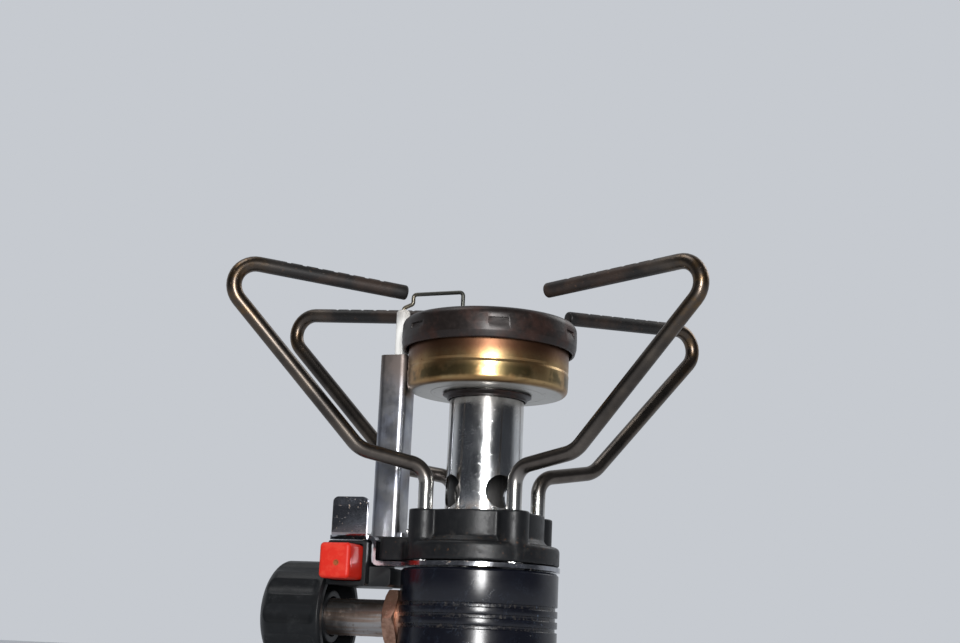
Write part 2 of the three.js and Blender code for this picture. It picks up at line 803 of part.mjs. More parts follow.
// A rolled ring that locks the tube to the cup's bottom.
function crimpRing() {
  const inner = holeRadius(tubeRadius, joinGap / 2, bigSides);
  const outer = inner + 1.3;
  const top = cupBottom - joinGap;
  const bottom = top - 1.6;
  const profile = [[inner, bottom], [inner + 0.5, bottom], [outer, top - 0.6], [outer, top], [inner, top]];
  return turned([...profile, profile[0]], bigSides);
}

function jet() {
  const acrossCorners = 4.4;
  const hexBottom = bodyTop + joinGap;
  const hexagon = rod(acrossCorners, hexBottom, hexBottom + 3.2, 6);
  const nozzleTop = plateBottom + airHoleHeight - 1;
  const nozzle = turned(
    [
      [0, jetBoreBottom + joinGap],
      [jetBoreRadius - joinGap, jetBoreBottom + joinGap],
      [jetBoreRadius - joinGap, nozzleTop - 4],
      [1.2, nozzleTop],
      [0, nozzleTop],
    ],
    midSides,
  );
  return cut(join(nozzle, hexagon), rod(0.4, jetBoreBottom, nozzleTop + 1, 8));
}

function burnerCup() {
  const inner = cupRadius - cupWall;
  const hole = holeRadius(tubeRadius, joinGap, bigSides);
  const [centreR, centreZ] = [cupRadius - cupCorner, cupBottom + cupCorner];
  const insideCorner = cupCorner - cupWall;
  return turned(
    [
      [hole, cupBottom],
      ...arc(centreR, centreZ, cupCorner, cupCorner, -90, 0, 4),
      [cupRadius, cupTop],
      [inner, cupTop],
      ...arc(centreR, centreZ, insideCorner, insideCorner, 0, -90, 4),
      [hole, cupBottom + cupWall],
      [hole, cupBottom],
    ],
    bigSides,
  );
}

// A pressed dish, mouth up, whose skirt grips the cup, with lanced dimples round the skirt.
function burnerCap() {
  const corner = 1.5;
  const [centreR, centreZ] = [capRadius - corner, capTop - corner];
  const insideCorner = corner - capWall;
  const skirtBottom = capTop - capSkirtDrop;
  const dish = turned(
    [
      [capRadius - capWall, skirtBottom],
      [capRadius, skirtBottom],
      ...arc(centreR, centreZ, corner, corner, 0, 90, 4),
      [capMouthRadius, capTop],
      [capMouthRadius, capUnderside],
      ...arc(centreR, centreZ, insideCorner, insideCorner, 90, 0, 3),
      [capRadius - capWall, skirtBottom],
    ],
    bigSides,
  );
  const dimples = [];
  const middle = skirtBottom + 0.55 * capSkirtDrop;
  for (let i = 0; i < dimpleCount; i += 1) {
    const dimple = block(capRadius - 0.45, capRadius + 1, -2.1, 2.1, middle - 0.9, middle + 0.9);
    dimples.push(dimple.rotateZ(degrees(-68 + (360 * i) / dimpleCount)));
  }
  return cut(dish, ...dimples);
}

function portPlate() {
  const plate = rod(cupRadius - 0.3, portPlateBottom, portPlateTop, bigSides);
  const holes = [bore(rivetRadius, joinGap / 2, portPlateBottom - 1, portPlateTop + 1, smallSides)];
  for (const [circle, count] of portRings) {
    for (let i = 0; i < count; i += 1) {
      const [x, y] = onCircle(circle, (360 * i) / count);
      holes.push(rod(portRadius, portPlateBottom - 1, portPlateTop + 1, 6).translate(x, y, 0));
    }
  }
  return cut(plate, ...holes);
}

// A disc under the ports that spreads the gas.
function burnerBaffle() {
  const inner = holeRadius(rivetRadius, joinGap / 2, smallSides);
  const bottom = baffleTop - baffleThickness;
  const outer = baffleRadius;
  const disc = [[inner, bottom], [outer, bottom], [outer, baffleTop], [inner, baffleTop]];
  return turned([...disc, disc[0]], midSides);
}

function burnerRivet() {
  const under = baffleTop - baffleThickness - joinGap;
  const over = portPlateTop + joinGap;
  return turned(
    [
      [0, under - 0.7],
      [2, under - 0.7],
      [2, under],
      [rivetRadius, under],
      [rivetRadius, over],
      [rivetHeadRadius, over],
      [rivetHeadRadius - 0.6, over + 0.5],
      [0, over + 0.7],
    ],
    smallSides,
  );
}

// ======== Electrode and its guard ========

// A folded channel, open to the rear, on a foot that a screw holds to the crown's ear.
function electrodeGuard() {
  const [left, right] = [guardX + sheet / 2, guardX + guardWidth - sheet / 2];
  const [front, rear] = [guardFrontY + sheet / 2, guardFrontY + guardDepth];
  const section = stripOutline([[left, rear], [left, front], [right, front], [right, rear]]);
  const channel = extrudedAlongZ(section, guardBottom, guardTop);
  const [x, y] = guardScrewPlace;
  const foot = block(guardX, x + 2, guardFrontY + 0.6, y + 2.6, guardBottom, guardBottom + sheet);
  const hole = bore(guardScrewRadius, joinGap / 2, guardBottom - 1, guardBottom + 2, smallSides);
  return cut(join(channel, foot), hole.translate(x, y, 0));
}

function guardScrew() {
  return screw(guardScrewRadius, 1.9, shelfTop - 4, guardBottom + sheet + joinGap, 1.2);
}

function ceramicInsulator() {
  const inner = holeRadius(electrodeRadius, joinGap, smallSides);
  return turned(
    [
      [inner, ceramicBottom],
      [ceramicRadius, ceramicBottom],
      [ceramicRadius, ceramicTop - 0.5],
      [ceramicRadius - 0.5, ceramicTop],
      [inner, ceramicTop],
      [inner, ceramicBottom],
    ],
    smallSides,
  ).translate(ceramicX, ceramicY, 0);
}

// A block of cement that holds the insulator in the channel.
function insulatorSeat() {
  const gap = sheet + joinGap;
  const [low, high] = [ceramicBottom + 0.5, ceramicBottom + 6];
  const cement = block(guardX + gap, guardX + guardWidth - gap, guardFrontY + gap, ceramicY + 3, low, high);
  const passage = bore(ceramicRadius, joinGap / 3, low - 1, high + 1, smallSides);
  return cut(cement, passage.translate(ceramicX, ceramicY, 0));
}

// The spark wire runs up the insulator, over the burner's rim and down to just above the ports.
function electrodeWire() {
  const top = capTop + electrodeOverCap;
  const [endX, endY] = electrodeEnd;
  const corners = [
    [ceramicX, ceramicY, ceramicBottom + 1],
    [ceramicX, ceramicY, ceramicTop + 0.5],
    [ceramicX + electrodeStep, ceramicY, ceramicTop + 1.4],
    [ceramicX + electrodeStep, ceramicY, top],
    [endX, endY, top],
    [endX, endY, capTop + 0.9],
  ].map(([x, y, z]) => new THREE.Vector3(x, y, z));
  return wireAlong(corners, [0.7, 0.7, 0.8, 0.9], electrodeRadius, 8, 3);
}

// The insulated lead from the igniter's rear to the foot of the insulator.
function ignitionLead() {
  const rearY = housingRearY + 3.4;
  const overZ = guardBottom + sheet + 2.6;
  const startY = housingRearY + joinGap + coverThickness + joinGap;
  const corners = [
    [buttonX, startY, buttonZ],
    [buttonX, rearY, buttonZ],
    [buttonX, rearY, overZ],
    [ceramicX, ceramicY, overZ],
    [ceramicX, ceramicY, ceramicBottom - joinGap],
  ].map(([x, y, z]) => new THREE.Vector3(x, y, z));
  return wireAlong(corners, [1.5, 1.8, 1.6], leadRadius, 8, 4);
}

// ======== Igniter ========

// A moulded case under the shelf: a square well for the button, a round bore for the striker unit behind it
// and a shoulder that reaches under the plate towards the valve body.
function piezoHousing() {
  const middleX = (housingLeft + housingRight) / 2;
  const outline = roundedRectangle(
    middleX,
    (housingTop + housingBottom) / 2,
    housingRight - housingLeft,
    housingTop - housingBottom,
    0.6,
  );
  const shoulderTop = plateBottom - joinGap;
  const shoulderEnd = -bodyRadius - 0.7;
  const shoulder = roundedRectangle(
    (housingRight + shoulderEnd) / 2 - 0.5,
    (shoulderTop + housingBottom) / 2,
    shoulderEnd - housingRight + 1,
    shoulderTop - housingBottom,
    0.9,
  );
  const well = block(
    buttonX - buttonWidth / 2 - slideGap,
    buttonX + buttonWidth / 2 + slideGap,
    housingFrontY - 1,
    partitionY,
    buttonZ - buttonHeight / 2 - slideGap,
    buttonZ + buttonHeight / 2 + slideGap,
  );
  const alongY = (geometry) => geometry.rotateX(-Math.PI / 2).translate(buttonX, 0, buttonZ);
  const [x, y] = piezoScrewPlace;
  return cut(
    join(
      extrudedAlongY(outline, housingFrontY, housingRearY),
      extrudedAlongY(shoulder, housingFrontY + 2.4, 3),
    ),
    well,
    alongY(bore(plungerRadius, slideGap, partitionY - 1, partitionY + 3, smallSides)),
    alongY(bore(unitRadius, joinGap, partitionY + 1.2, housingRearY + 1, midSides)),
    bore(piezoScrewRadius, joinGap / 2, piezoScrewTip - 0.3, housingTop + 1, smallSides).translate(x, y, 0),
  );
}

function piezoScrew() {
  return screw(piezoScrewRadius, 1.7, piezoScrewTip, shelfTop + joinGap, 1.1);
}

// The push button, with its front edges rounded over.
function piezoButton() {
  const edge = 0.6;
  const outline = roundedRectangle(buttonX, buttonZ, buttonWidth - 2 * edge, buttonHeight - 2 * edge, 0.5);
  const body = extrudedAlongY(
    roundedRectangle(buttonX, buttonZ, buttonWidth, buttonHeight, 0.9),
    buttonFrontY + edge,
    buttonRearY,
  );
  const face = new THREE.ExtrudeGeometry(shapeOf(outline), {
    depth: 1,
    bevelThickness: edge,
    bevelSize: edge,
    bevelSegments: 3,
  });
  face.rotateX(Math.PI / 2).translate(0, buttonFrontY + edge + 1, 0);
  return join(body, face);
}

function piezoPlunger() {
  const low = buttonRearY + joinGap;
  return rod(plungerRadius, low, partitionY - 1, smallSides)
    .rotateX(-Math.PI / 2)
    .translate(buttonX, 0, buttonZ);
}

// The striker's spring, as the rings of its closed coils.
function strikerSpring() {
  const low = housingRearY - 3;
  const profile = [[unitRadius - 0.5, low], [unitRadius, low], [unitRadius, low + 1.2]];
  profile.push([unitRadius - 0.5, low + 1.2], [unitRadius - 0.5, low]);
  return turned(profile, smallSides).rotateX(-Math.PI / 2).translate(buttonX, 0, buttonZ);
}

function piezoCrystal() {
  const low = housingRearY - 1.5;
  return rod(unitRadius - 0.2, low, low + 1.3, midSides)
    .rotateX(-Math.PI / 2)
    .translate(buttonX, 0, buttonZ);
}

// The rear lid, with a hole for the lead.
function piezoCover() {
  const outline = roundedRectangle(buttonX, buttonZ, buttonWidth, buttonHeight, 1);
  const lid = extrudedAlongY(outline, housingRearY + joinGap, housingRearY + joinGap + coverThickness);
  const exit = rod(0.6, housingRearY, housingRearY + 3, smallSides).rotateX(-Math.PI / 2);
  return cut(lid, exit.translate(buttonX, 0, buttonZ));
}

// ======== Assembly ========

const blackCasting = { color: 0x16181a, roughness: 0.55, metalness: 0.2 };
const blackAnodised = { color: 0x0b0d14, roughness: 0.25, metalness: 0.7 };
const blackPlastic = { color: 0x101214, roughness: 0.45, metalness: 0 };
const brass = { color: 0xb58a3c, roughness: 0.35, metalness: 1 };
const copperBrass = { color: 0x8a5a44, roughness: 0.4, metalness: 1 };
const nickelSteel = { color: 0xb8b6b0, roughness: 0.25, metalness: 1 };
const chrome = { color: 0xd0d2d0, roughness: 0.08, metalness: 1 };
const armSteel = { color: 0x4c4640, roughness: 0.4, metalness: 1 };
const strawSteel = { color: 0xa98a4e, roughness: 0.2, metalness: 1 };
const scaledSteel = { color: 0x2a1d18, roughness: 0.5, metalness: 0.6 };
const screwSteel = { color: 0x9a9a98, roughness: 0.35, metalness: 1 };
const sealRubber = { color: 0x1c1c1c, roughness: 0.8, metalness: 0 };
const whiteCeramic = { color: 0xe8e6df, roughness: 0.35, metalness: 0 };
const greyCement = { color: 0xa8a49a, roughness: 0.9, metalness: 0 };
const redPlastic = { color: 0xd0180c, roughness: 0.35, metalness: 0 };
const sintered = { color: 0x8c6a3c, roughness: 0.9, metalness: 0.6 };

const stove = new THREE.Group();

function add(name, geometry, finish) {
  const mesh = new THREE.Mesh(geometry, new THREE.MeshStandardMaterial(finish));
  mesh.name = name;
  stove.add(mesh);
  return mesh;
}

add("valve_body", valveBody(), blackAnodised);
add("canister_collar", canisterCollar(), brass);
add("canister_seal", canisterSeal(), sealRubber);
add("opening_pin", openingPin(), brass);
add("inlet_filter", inletFilter(), sintered);
add("gland_nut", glandNut(), copperBrass);
add("gland_packing", glandPacking(), sealRubber);
add("valve_spindle", valveSpindle(), nickelSteel);
add("spindle_ring", spindleRing(), sealRubber);
add("knob", knob(), blackPlastic);
add("knob_screw", knobScrew(), screwSteel);
add("bracket", bracket(), nickelSteel);
add("crown", crown(), blackCasting);
screwPlaces.forEach(([x, y], i) => {
  add(`crown_screw_${i + 1}`, crownScrew(), screwSteel).position.set(x, y, 0);
});
armNames.forEach((name, i) => {
  const [x, y] = legPlaces[i];
  add(`arm_washer_${name}`, armWasher(), screwSteel).position.set(x, y, 0);
  const mesh = add(`arm_${name}`, arm(), armSteel);
  mesh.position.set(x, y, 0);
  mesh.rotation.z = degrees(armDirections[i]);
});
add("jet", jet(), brass);
add("mixing_tube", mixingTube(), chrome);
add("crimp_ring", crimpRing(), scaledSteel);
add("burner_cup", burnerCup(), strawSteel);
add("burner_cap", burnerCap(), scaledSteel);
add("port_plate", portPlate(), scaledSteel);
add("burner_baffle", burnerBaffle(), nickelSteel);
add("burner_rivet", burnerRivet(), scaledSteel);
add("electrode_guard", electrodeGuard(), nickelSteel);
add("guard_screw", guardScrew(), screwSteel).position.set(guardScrewPlace[0], guardScrewPlace[1], 0);
add("ceramic_insulator", ceramicInsulator(), whiteCeramic);
add("insulator_seat", insulatorSeat(), greyCement);
add("electrode_wire", electrodeWire(), screwSteel);
add("ignition_lead", ignitionLead(), sealRubber);
add("piezo_housing", piezoHousing(), blackPlastic);
add("piezo_screw", piezoScrew(), screwSteel).position.set(piezoScrewPlace[0], piezoScrewPlace[1], 0);
add("piezo_button", piezoButton(), redPlastic);
add("piezo_plunger", piezoPlunger(), screwSteel);
add("striker_spring", strikerSpring(), screwSteel);
add("piezo_crystal", piezoCrystal(), greyCement);
add("piezo_cover", piezoCover(), blackPlastic);

export default stove;
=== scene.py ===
import math

import bmesh
import bpy
from mathutils import Matrix, Vector


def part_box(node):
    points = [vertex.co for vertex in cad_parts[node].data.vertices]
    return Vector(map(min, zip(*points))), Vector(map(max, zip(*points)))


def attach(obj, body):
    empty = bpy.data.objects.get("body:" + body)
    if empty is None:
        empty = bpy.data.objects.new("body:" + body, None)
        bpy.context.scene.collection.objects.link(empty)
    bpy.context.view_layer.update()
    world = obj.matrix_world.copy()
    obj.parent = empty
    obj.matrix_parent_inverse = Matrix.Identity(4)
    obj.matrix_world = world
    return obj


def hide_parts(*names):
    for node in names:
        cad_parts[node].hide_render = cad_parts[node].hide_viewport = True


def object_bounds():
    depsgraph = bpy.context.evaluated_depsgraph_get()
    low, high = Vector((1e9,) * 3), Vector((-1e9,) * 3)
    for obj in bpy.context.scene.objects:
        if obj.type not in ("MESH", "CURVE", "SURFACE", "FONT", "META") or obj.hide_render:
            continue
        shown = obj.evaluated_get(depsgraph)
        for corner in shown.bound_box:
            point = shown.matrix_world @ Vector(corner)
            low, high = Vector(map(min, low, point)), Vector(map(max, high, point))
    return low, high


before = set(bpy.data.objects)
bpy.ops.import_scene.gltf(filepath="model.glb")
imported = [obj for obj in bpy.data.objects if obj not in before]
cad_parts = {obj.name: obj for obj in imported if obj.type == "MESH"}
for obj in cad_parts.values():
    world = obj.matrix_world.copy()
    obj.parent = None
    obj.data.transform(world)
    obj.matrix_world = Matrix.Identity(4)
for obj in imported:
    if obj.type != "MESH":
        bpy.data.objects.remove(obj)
cad_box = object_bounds()

# ======== Camera, floor and light ========
# A pale studio: a plain floor, an even pale surround, and a lamp close to the camera for narrow highlights
# on the round pieces, with softer lamps above and behind.
camera_azimuth = math.radians(16.74)
camera_distance = 0.3242
eye_height = 0.0175
camera_pitch = math.radians(12.25)
camera_yaw = math.radians(0.4)
camera_roll = math.radians(2.47)
lens_length = 56.46

away = Vector((math.sin(camera_azimuth), -math.cos(camera_azimuth), 0))
across = Vector((math.cos(camera_azimuth), math.sin(camera_azimuth), 0))
camera_data = bpy.data.cameras.new("camera")
camera_data.lens = lens_length
camera_data.clip_start = 0.01
camera = bpy.data.objects.new("camera", camera_data)
camera.location = away * camera_distance + Vector((0, 0, eye_height))
heading = Matrix.Rotation(camera_azimuth + camera_yaw, 4, "Z")
aim = heading @ Matrix.Rotation(math.pi / 2 + camera_pitch, 4, "X")
camera.matrix_world = Matrix.Translation(camera.location) @ aim @ Matrix.Rotation(camera_roll, 4, "Z")
bpy.context.collection.objects.link(camera)
bpy.context.scene.camera = camera
bpy.context.scene.view_settings.view_transform = "Standard"


class Value:
    """An output of a shader node. Arithmetic on it adds Math nodes beside it."""

    def __init__(self, socket):
        self.socket = socket

    def node(self, kind, settings, inputs, output=0):
        """Any other node: its type, its settings, then the values or links of its sockets."""
        tree = self.socket.id_data
        made = tree.nodes.new("ShaderNode" + kind)
        for name, setting in settings.items():
            setattr(made, name, setting)
        for name, value in inputs.items():
            if isinstance(value, Value):
                tree.links.new(value.socket, made.inputs[name])
            else:
                made.inputs[name].default_value = value
        return Value(made.outputs[output])

    def math(self, operation, first, second):
        return self.node("Math", {"operation": operation}, {0: first, 1: second})

    def __add__(self, other):
        return self.math("ADD", self, other)

    def __sub__(self, other):
        return self.math("SUBTRACT", self, other)

    def __rsub__(self, other):
        return self.math("SUBTRACT", other, self)

    def __mul__(self, other):
        return self.math("MULTIPLY", self, other)

    def __pow__(self, other):
        return self.math("POWER", self, other)

    __radd__ = __add__
    __rmul__ = __mul__


def ramp(value, low, high):
    """0 below one value and 1 above the other, eased between."""
    ends = {"Value": value, "From Min": low, "From Max": high}
    return value.node("MapRange", {"interpolation_type": "SMOOTHSTEP"}, ends)


def tint(mask, under, over):
    """One colour, and another over it where the mask is 1."""
    colours = [c if isinstance(c, Value) else (*c, 1) for c in (under, over)]
    return mask.node("Mix", {"data_type": "RGBA"}, {0: mask, 6: colours[0], 7: colours[1]}, 2)


# The surround is pale and even, and only polished pieces see it as a dim room with a pale sheet behind.
surround_tone = (0.565, 0.590, 0.630)
surround = bpy.data.worlds.new("surround")
surround.use_nodes = True
sky = Value(surround.node_tree.nodes.new("ShaderNodeTexCoord").outputs["Generated"])
toward_sheet = sky.node("VectorMath", {"operation": "DOT_PRODUCT"}, {0: sky, 1: tuple(-away)}, "Value")
room = tint(ramp(toward_sheet, -0.10, 0.45), (0.040, 0.043, 0.050), (0.500, 0.520, 0.550))
seen = tint(sky.node("LightPath", {}, {}, "Is Glossy Ray"), surround_tone, room)
strength = 1 - 0.38 * sky.node("LightPath", {}, {}, "Is Diffuse Ray")
background = surround.node_tree.nodes["Background"].inputs
surround.node_tree.links.new(seen.socket, background["Color"])
surround.node_tree.links.new(strength.socket, background["Strength"])
bpy.context.scene.world = surround


def lamp(name, place, target, width, height, power, spread=180):
    """A soft rectangular lamp at one place that faces another, in metres, and its beam's spread."""
    data = bpy.data.lights.new(name, "AREA")
    data.shape = "RECTANGLE"
    data.size, data.size_y = width, height
    data.energy = power
    data.spread = math.radians(spread)
    made = bpy.data.objects.new(name, data)
    made.location = place
    made.rotation_euler = (Vector(target) - Vector(place)).to_track_quat("-Z", "Y").to_euler()
    bpy.context.collection.objects.link(made)
    return made


middle = (0, 0, 0.05)
beside_camera = away * 0.46 + across * 0.02 + Vector((0, 0, 0.10))
lamp_by_camera = lamp("lamp_by_camera", beside_camera, middle, 0.075, 0.17, 0.31, 60)
lamp("lamp_above", (-0.25, -0.20, 0.85), middle, 0.40, 0.40, 1.9)
lamp("lamp_behind", (0.45, 0.60, 0.55), middle, 0.50, 0.40, 1.6)

floor_level = cad_box[0][2]
floor_reach = 2.0
corner_signs = ((-1, -1), (1, -1), (1, 1), (-1, 1))
floor_mesh = bpy.data.meshes.new("floor")
floor_corners = [(floor_reach * a, floor_reach * b, floor_level) for a, b in corner_signs]
floor_mesh.from_pydata(floor_corners, [], [(0, 1, 2, 3)])
floor = bpy.data.objects.new("floor", floor_mesh)
floor_paint = bpy.data.materials.new("floor")
floor_paint.use_nodes = True
floor_shader = floor_paint.node_tree.nodes["Principled BSDF"].inputs
floor_shader["Base Color"].default_value = (0.50, 0.515, 0.54, 1)
floor_shader["Emission Color"].default_value = (*surround_tone, 1)
floor_shader["Emission Strength"].default_value = 0.30
floor_shader["Roughness"].default_value = 0.8
floor_mesh.materials.append(floor_paint)
bpy.context.collection.objects.link(floor)

# The lamp by the camera is kept off the floor, where it would burn a white patch in front of the stove.
kept_off = bpy.data.collections.new("kept_off")
kept_off.objects.link(floor)
kept_off.collection_objects[0].light_linking.link_state = "EXCLUDE"
lamp_by_camera.light_linking.receiver_collection = kept_off

# ======== Valve body ========
# A turned aluminium block, black anodised and glossy, with three grip grooves and scallops round its lower
# rim. The canister's stem enters from below, the spindle from the left, and the jet screws in at the top.


def box_mm(node):
    """The lowest and highest corner of a CAD node, in millimetres."""
    low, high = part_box(node)
    return Vector(low) * 1000, Vector(high) * 1000


def eased(points, radius, steps=3, closed=True):
    """An outline with its corners rounded; a corner may carry its own radius as a third number."""
    out = []
    count = len(points)
    for i, point in enumerate(points):
        here = Vector(point[:2])
        own = point[2] if len(point) > 2 else radius
        if own == 0 or (not closed and i in (0, count - 1)):
            out.append(tuple(here))
            continue
        back = Vector(points[i - 1][:2]) - here
        ahead = Vector(points[(i + 1) % count][:2]) - here
        angle = back.angle(ahead)
        if angle > math.pi - 0.02 or angle < 0.02:
            out.append(tuple(here))
            continue
        setback = min(own / math.tan(angle / 2), 0.48 * back.length, 0.48 * ahead.length)
        round_radius = setback * math.tan(angle / 2)
        centre = here + (back.normalized() + ahead.normalized()).normalized() * (
            round_radius / math.sin(angle / 2)
        )
        first = here + back.normalized() * setback - centre
        turn = first.angle_signed(here + ahead.normalized() * setback - centre)
        for k in range(steps + 1):
            swing = Matrix.Rotation(-turn * k / steps, 2)
            out.append(tuple(centre + swing @ first))
    return out


def object_from(name, mesh_data):
    """A scene object in metres from a bmesh in millimetres."""
    bmesh.ops.recalc_face_normals(mesh_data, faces=mesh_data.faces)
    bmesh.ops.scale(mesh_data, vec=(0.001, 0.001, 0.001), verts=mesh_data.verts)
    mesh = bpy.data.meshes.new(name)
    mesh_data.to_mesh(mesh)
    mesh_data.free()
    made = bpy.data.objects.new(name, mesh)
    bpy.context.collection.objects.link(made)
    return made


def turned(name, profile, sides=144, turn=Matrix(), shape=None):
    """A [radius, height] profile turned about Z, then placed; it starts and ends on the axis or is a loop."""
    mesh = bmesh.new()
    rings = []
    for radius, height in profile:
        if radius < 1e-6:
            rings.append([mesh.verts.new((0, 0, height))])
            continue
        ring = []
        for i in range(sides):
            angle = 2 * math.pi * i / sides
            r, z = shape(radius, height, angle) if shape else (radius, height)
            ring.append(mesh.verts.new((r * math.cos(angle), r * math.sin(angle), z)))
        rings.append(ring)
    loop = len(rings[0]) > 1
    following = rings[1:] + rings[:1] if loop else rings[1:]
    for low, high in zip(rings, following):
        for i in range(sides):
            j = (i + 1) % sides
            corners = []
            for vertex in (low[i % len(low)], low[j % len(low)], high[j % len(high)], high[i % len(high)]):
                if vertex not in corners:
                    corners.append(vertex)
            if len(corners) > 2:
                mesh.faces.new(corners)
    bmesh.ops.transform(mesh, matrix=turn, verts=mesh.verts)
    return object_from(name, mesh)


def settle(piece):
    """Applies a piece's modifiers to its mesh."""
    shaped = piece.evaluated_get(bpy.context.evaluated_depsgraph_get())
    mesh = bpy.data.meshes.new_from_object(shaped)
    piece.modifiers.clear()
    piece.data = mesh
    return piece


def carve(piece, *cutters, operation="DIFFERENCE"):
    """Cuts other solids from a piece, or joins them to it, and drops them."""
    for cutter in cutters:
        cut = piece.modifiers.new("cut", "BOOLEAN")
        cut.operation = operation
        cut.solver = "EXACT"
        cut.object = cutter
    settle(piece)
    for cutter in cutters:
        bpy.data.objects.remove(cutter)
    return piece


def rod(radius, low, high, turn=Matrix(), sides=64):
    """A round cutter about Z, then placed."""
    return turned("cutter", [(0, low), (radius, low), (radius, high), (0, high)], sides, turn)


def smooth(piece, angle=32):
    """Shades a piece smooth, with its corners above this angle kept sharp."""
    for face in piece.data.polygons:
        face.use_smooth = True
    piece.data.set_sharp_from_angle(angle=math.radians(angle))


def start_finish(name, **constants):
    """A material whose shader has these constants, and the place on a piece in millimetres."""
    material = bpy.data.materials.new(name)
    material.use_nodes = True
    tree = material.node_tree
    for key, value in constants.items():
        tree.nodes["Principled BSDF"].inputs[key.replace("_", " ")].default_value = value
    place = Value(tree.nodes.new("ShaderNodeTexCoord").outputs["Object"])
    return material, place.node("VectorMath", {"operation": "SCALE"}, {0: place, "Scale": 1000.0})


def feed(material, **values):
    """Links what varies over the surface to the material's shader."""
    tree = material.node_tree
    for key, value in values.items():
        tree.links.new(value.socket, tree.nodes["Principled BSDF"].inputs[key.replace("_", " ")])


def parts(place):
    """The x, y and z of a place."""
    split = place.node("SeparateXYZ", {}, {0: place})
    return [Value(socket) for socket in split.socket.node.outputs]


def far_from_axis(x, y):
    return (x * x + y * y) ** 0.5


def cloud(place, scale, detail=3.0, stretch=(1, 1, 1)):
    """Soft noise from 0 to 1 with this many lumps to a millimetre, drawn out along some axes."""
    spread = [scale * s for s in stretch]
    scaled = place.node("VectorMath", {"operation": "MULTIPLY"}, {0: place, 1: spread})
    return place.node("TexNoise", {}, {"Vector": scaled, "Scale": 1.0, "Detail": detail, "Roughness": 0.6})


def relief(height):
    """A normal from a height in millimetres."""
    return height.node("Bump", {}, {"Strength": 1.0, "Distance": 0.001, "Height": height})


def scratches(place, scale, turn, amount):
    """Thin straight marks: ridges of noise drawn out along one direction."""
    inputs = {"Vector": place, "Rotation": turn}
    turned_place = place.node("VectorRotate", {"rotation_type": "EULER_XYZ"}, inputs)
    lines = cloud(turned_place, scale, 2.0, (0.05, 1.0, 1.0))
    patches = ramp(cloud(place, 0.25), 0.48, 0.62)
    return (1 - ramp((lines - 0.5) ** 2.0, 0.0, amount)) * patches


body_low, body_high = box_mm("valve_body")
spindle_low, spindle_high = box_mm("valve_spindle")
collar_low, collar_high = box_mm("canister_collar")
bracket_low, bracket_high = box_mm("bracket")
spindle_z = (spindle_low.z + spindle_high.z) / 2
body_radius = body_high.x
body_bottom, body_top = body_low.z, body_high.z
groove_drop, groove_pitch = 7.4, 2.2
groove_middles = [body_top - groove_drop - groove_pitch * i for i in (2, 1, 0)]
groove_half, groove_depth = 0.4, 0.5
recess_radius, recess_top = 13.5, body_bottom + 5
socket_radius, socket_top = 8.3, collar_high.z + 0.3
gas_way_radius, gas_way_top = 3.4, socket_top + 5.4
jet_well_radius, jet_well_floor = 2.9, body_top - 4.9
rim_chamfer, top_chamfer = 1.1, 0.5
spot_face_radius, spot_face_x = 7.5, body_radius - 0.45
gland_hole_radius, gland_hole_floor = 5.5, 9
chamber_radius, seat_x = 2.2, 2.2
to_spindle = Matrix.Translation((0, 0, spindle_z)) @ Matrix.Rotation(-math.pi / 2, 4, "Y")

body_outline = [(0, gas_way_top, 0), (gas_way_radius, gas_way_top), (gas_way_radius, socket_top)]
body_outline += [(socket_radius, socket_top), (socket_radius, recess_top), (recess_radius, recess_top)]
body_outline += [(recess_radius, body_bottom), (body_radius - rim_chamfer, body_bottom, 0.3)]
body_outline.append((body_radius, body_bottom + rim_chamfer, 0.3))
groove_floor = body_radius - groove_depth
for groove in groove_middles:
    body_outline += [(body_radius, groove - groove_half, 0.12), (groove_floor, groove - groove_half)]
    body_outline += [(groove_floor, groove + groove_half), (body_radius, groove + groove_half, 0.12)]
body_outline += [(body_radius, body_top - top_chamfer, 0.2), (body_radius - top_chamfer, body_top, 0.2)]
body_outline += [(jet_well_radius, body_top), (jet_well_radius, jet_well_floor), (0, jet_well_floor, 0)]
body = turned("body_block", eased(body_outline, 0.1, closed=False), 192)
body_cuts = [
    rod(spot_face_radius, spot_face_x, body_radius + 2, to_spindle, 96),
    rod(gland_hole_radius, gland_hole_floor, spot_face_x + 1, to_spindle),
    rod(chamber_radius, seat_x, gland_hole_floor + 1, to_spindle),
]
scallop_count, scallop_radius, scallop_height = 12, 2.2, 7
scallop_circle = body_radius + 1.6
for i in range(scallop_count):
    angle = 2 * math.pi * (i + 0.5) / scallop_count
    place = Matrix.Translation((scallop_circle * math.cos(angle), scallop_circle * math.sin(angle), 0))
    scallop = [(0, body_bottom - 1), (scallop_radius, body_bottom - 1)]
    scallop += [(scallop_radius, body_bottom + 6.4), (1.6, body_bottom + scallop_height)]
    body_cuts.append(turned("cutter", [*scallop, (0, body_bottom + scallop_height)], 48, place))
carve(body, *body_cuts)
smooth(body)

anodised, place = start_finish("black_anodised", IOR=1.5, Specular_IOR_Level=0.42)
x, y, z = parts(place)
turning = cloud(place, 1.0, 2.0, (0.03, 0.03, 9.0))
specks = ramp(cloud(place, 2.6, 4.0), 0.69, 0.74)
near_grooves = ramp(z, groove_middles[0] - 2.5, groove_middles[0] - 0.5) * (
    1 - ramp(z, groove_middles[2] + 0.5, groove_middles[2] + 2.5)
)
in_groove = 1 - ramp(far_from_axis(x, y), body_radius - 0.42, body_radius - 0.1)
dust = ramp(cloud(place, 1.3, 6.0), 0.46, 0.74) * in_groove * near_grooves
chips = ramp(cloud(place, 0.9, 5.0), 0.66, 0.70) * near_grooves
marks = scratches(place, 2.2, (0.5, 0.9, 0.7), 0.0006) * 0.5
colour = tint(cloud(place, 0.15), (0.0022, 0.0025, 0.0045), (0.0045, 0.005, 0.0085))
colour = tint(chips * 0.45 + marks * 0.25, colour, (0.07, 0.10, 0.15))
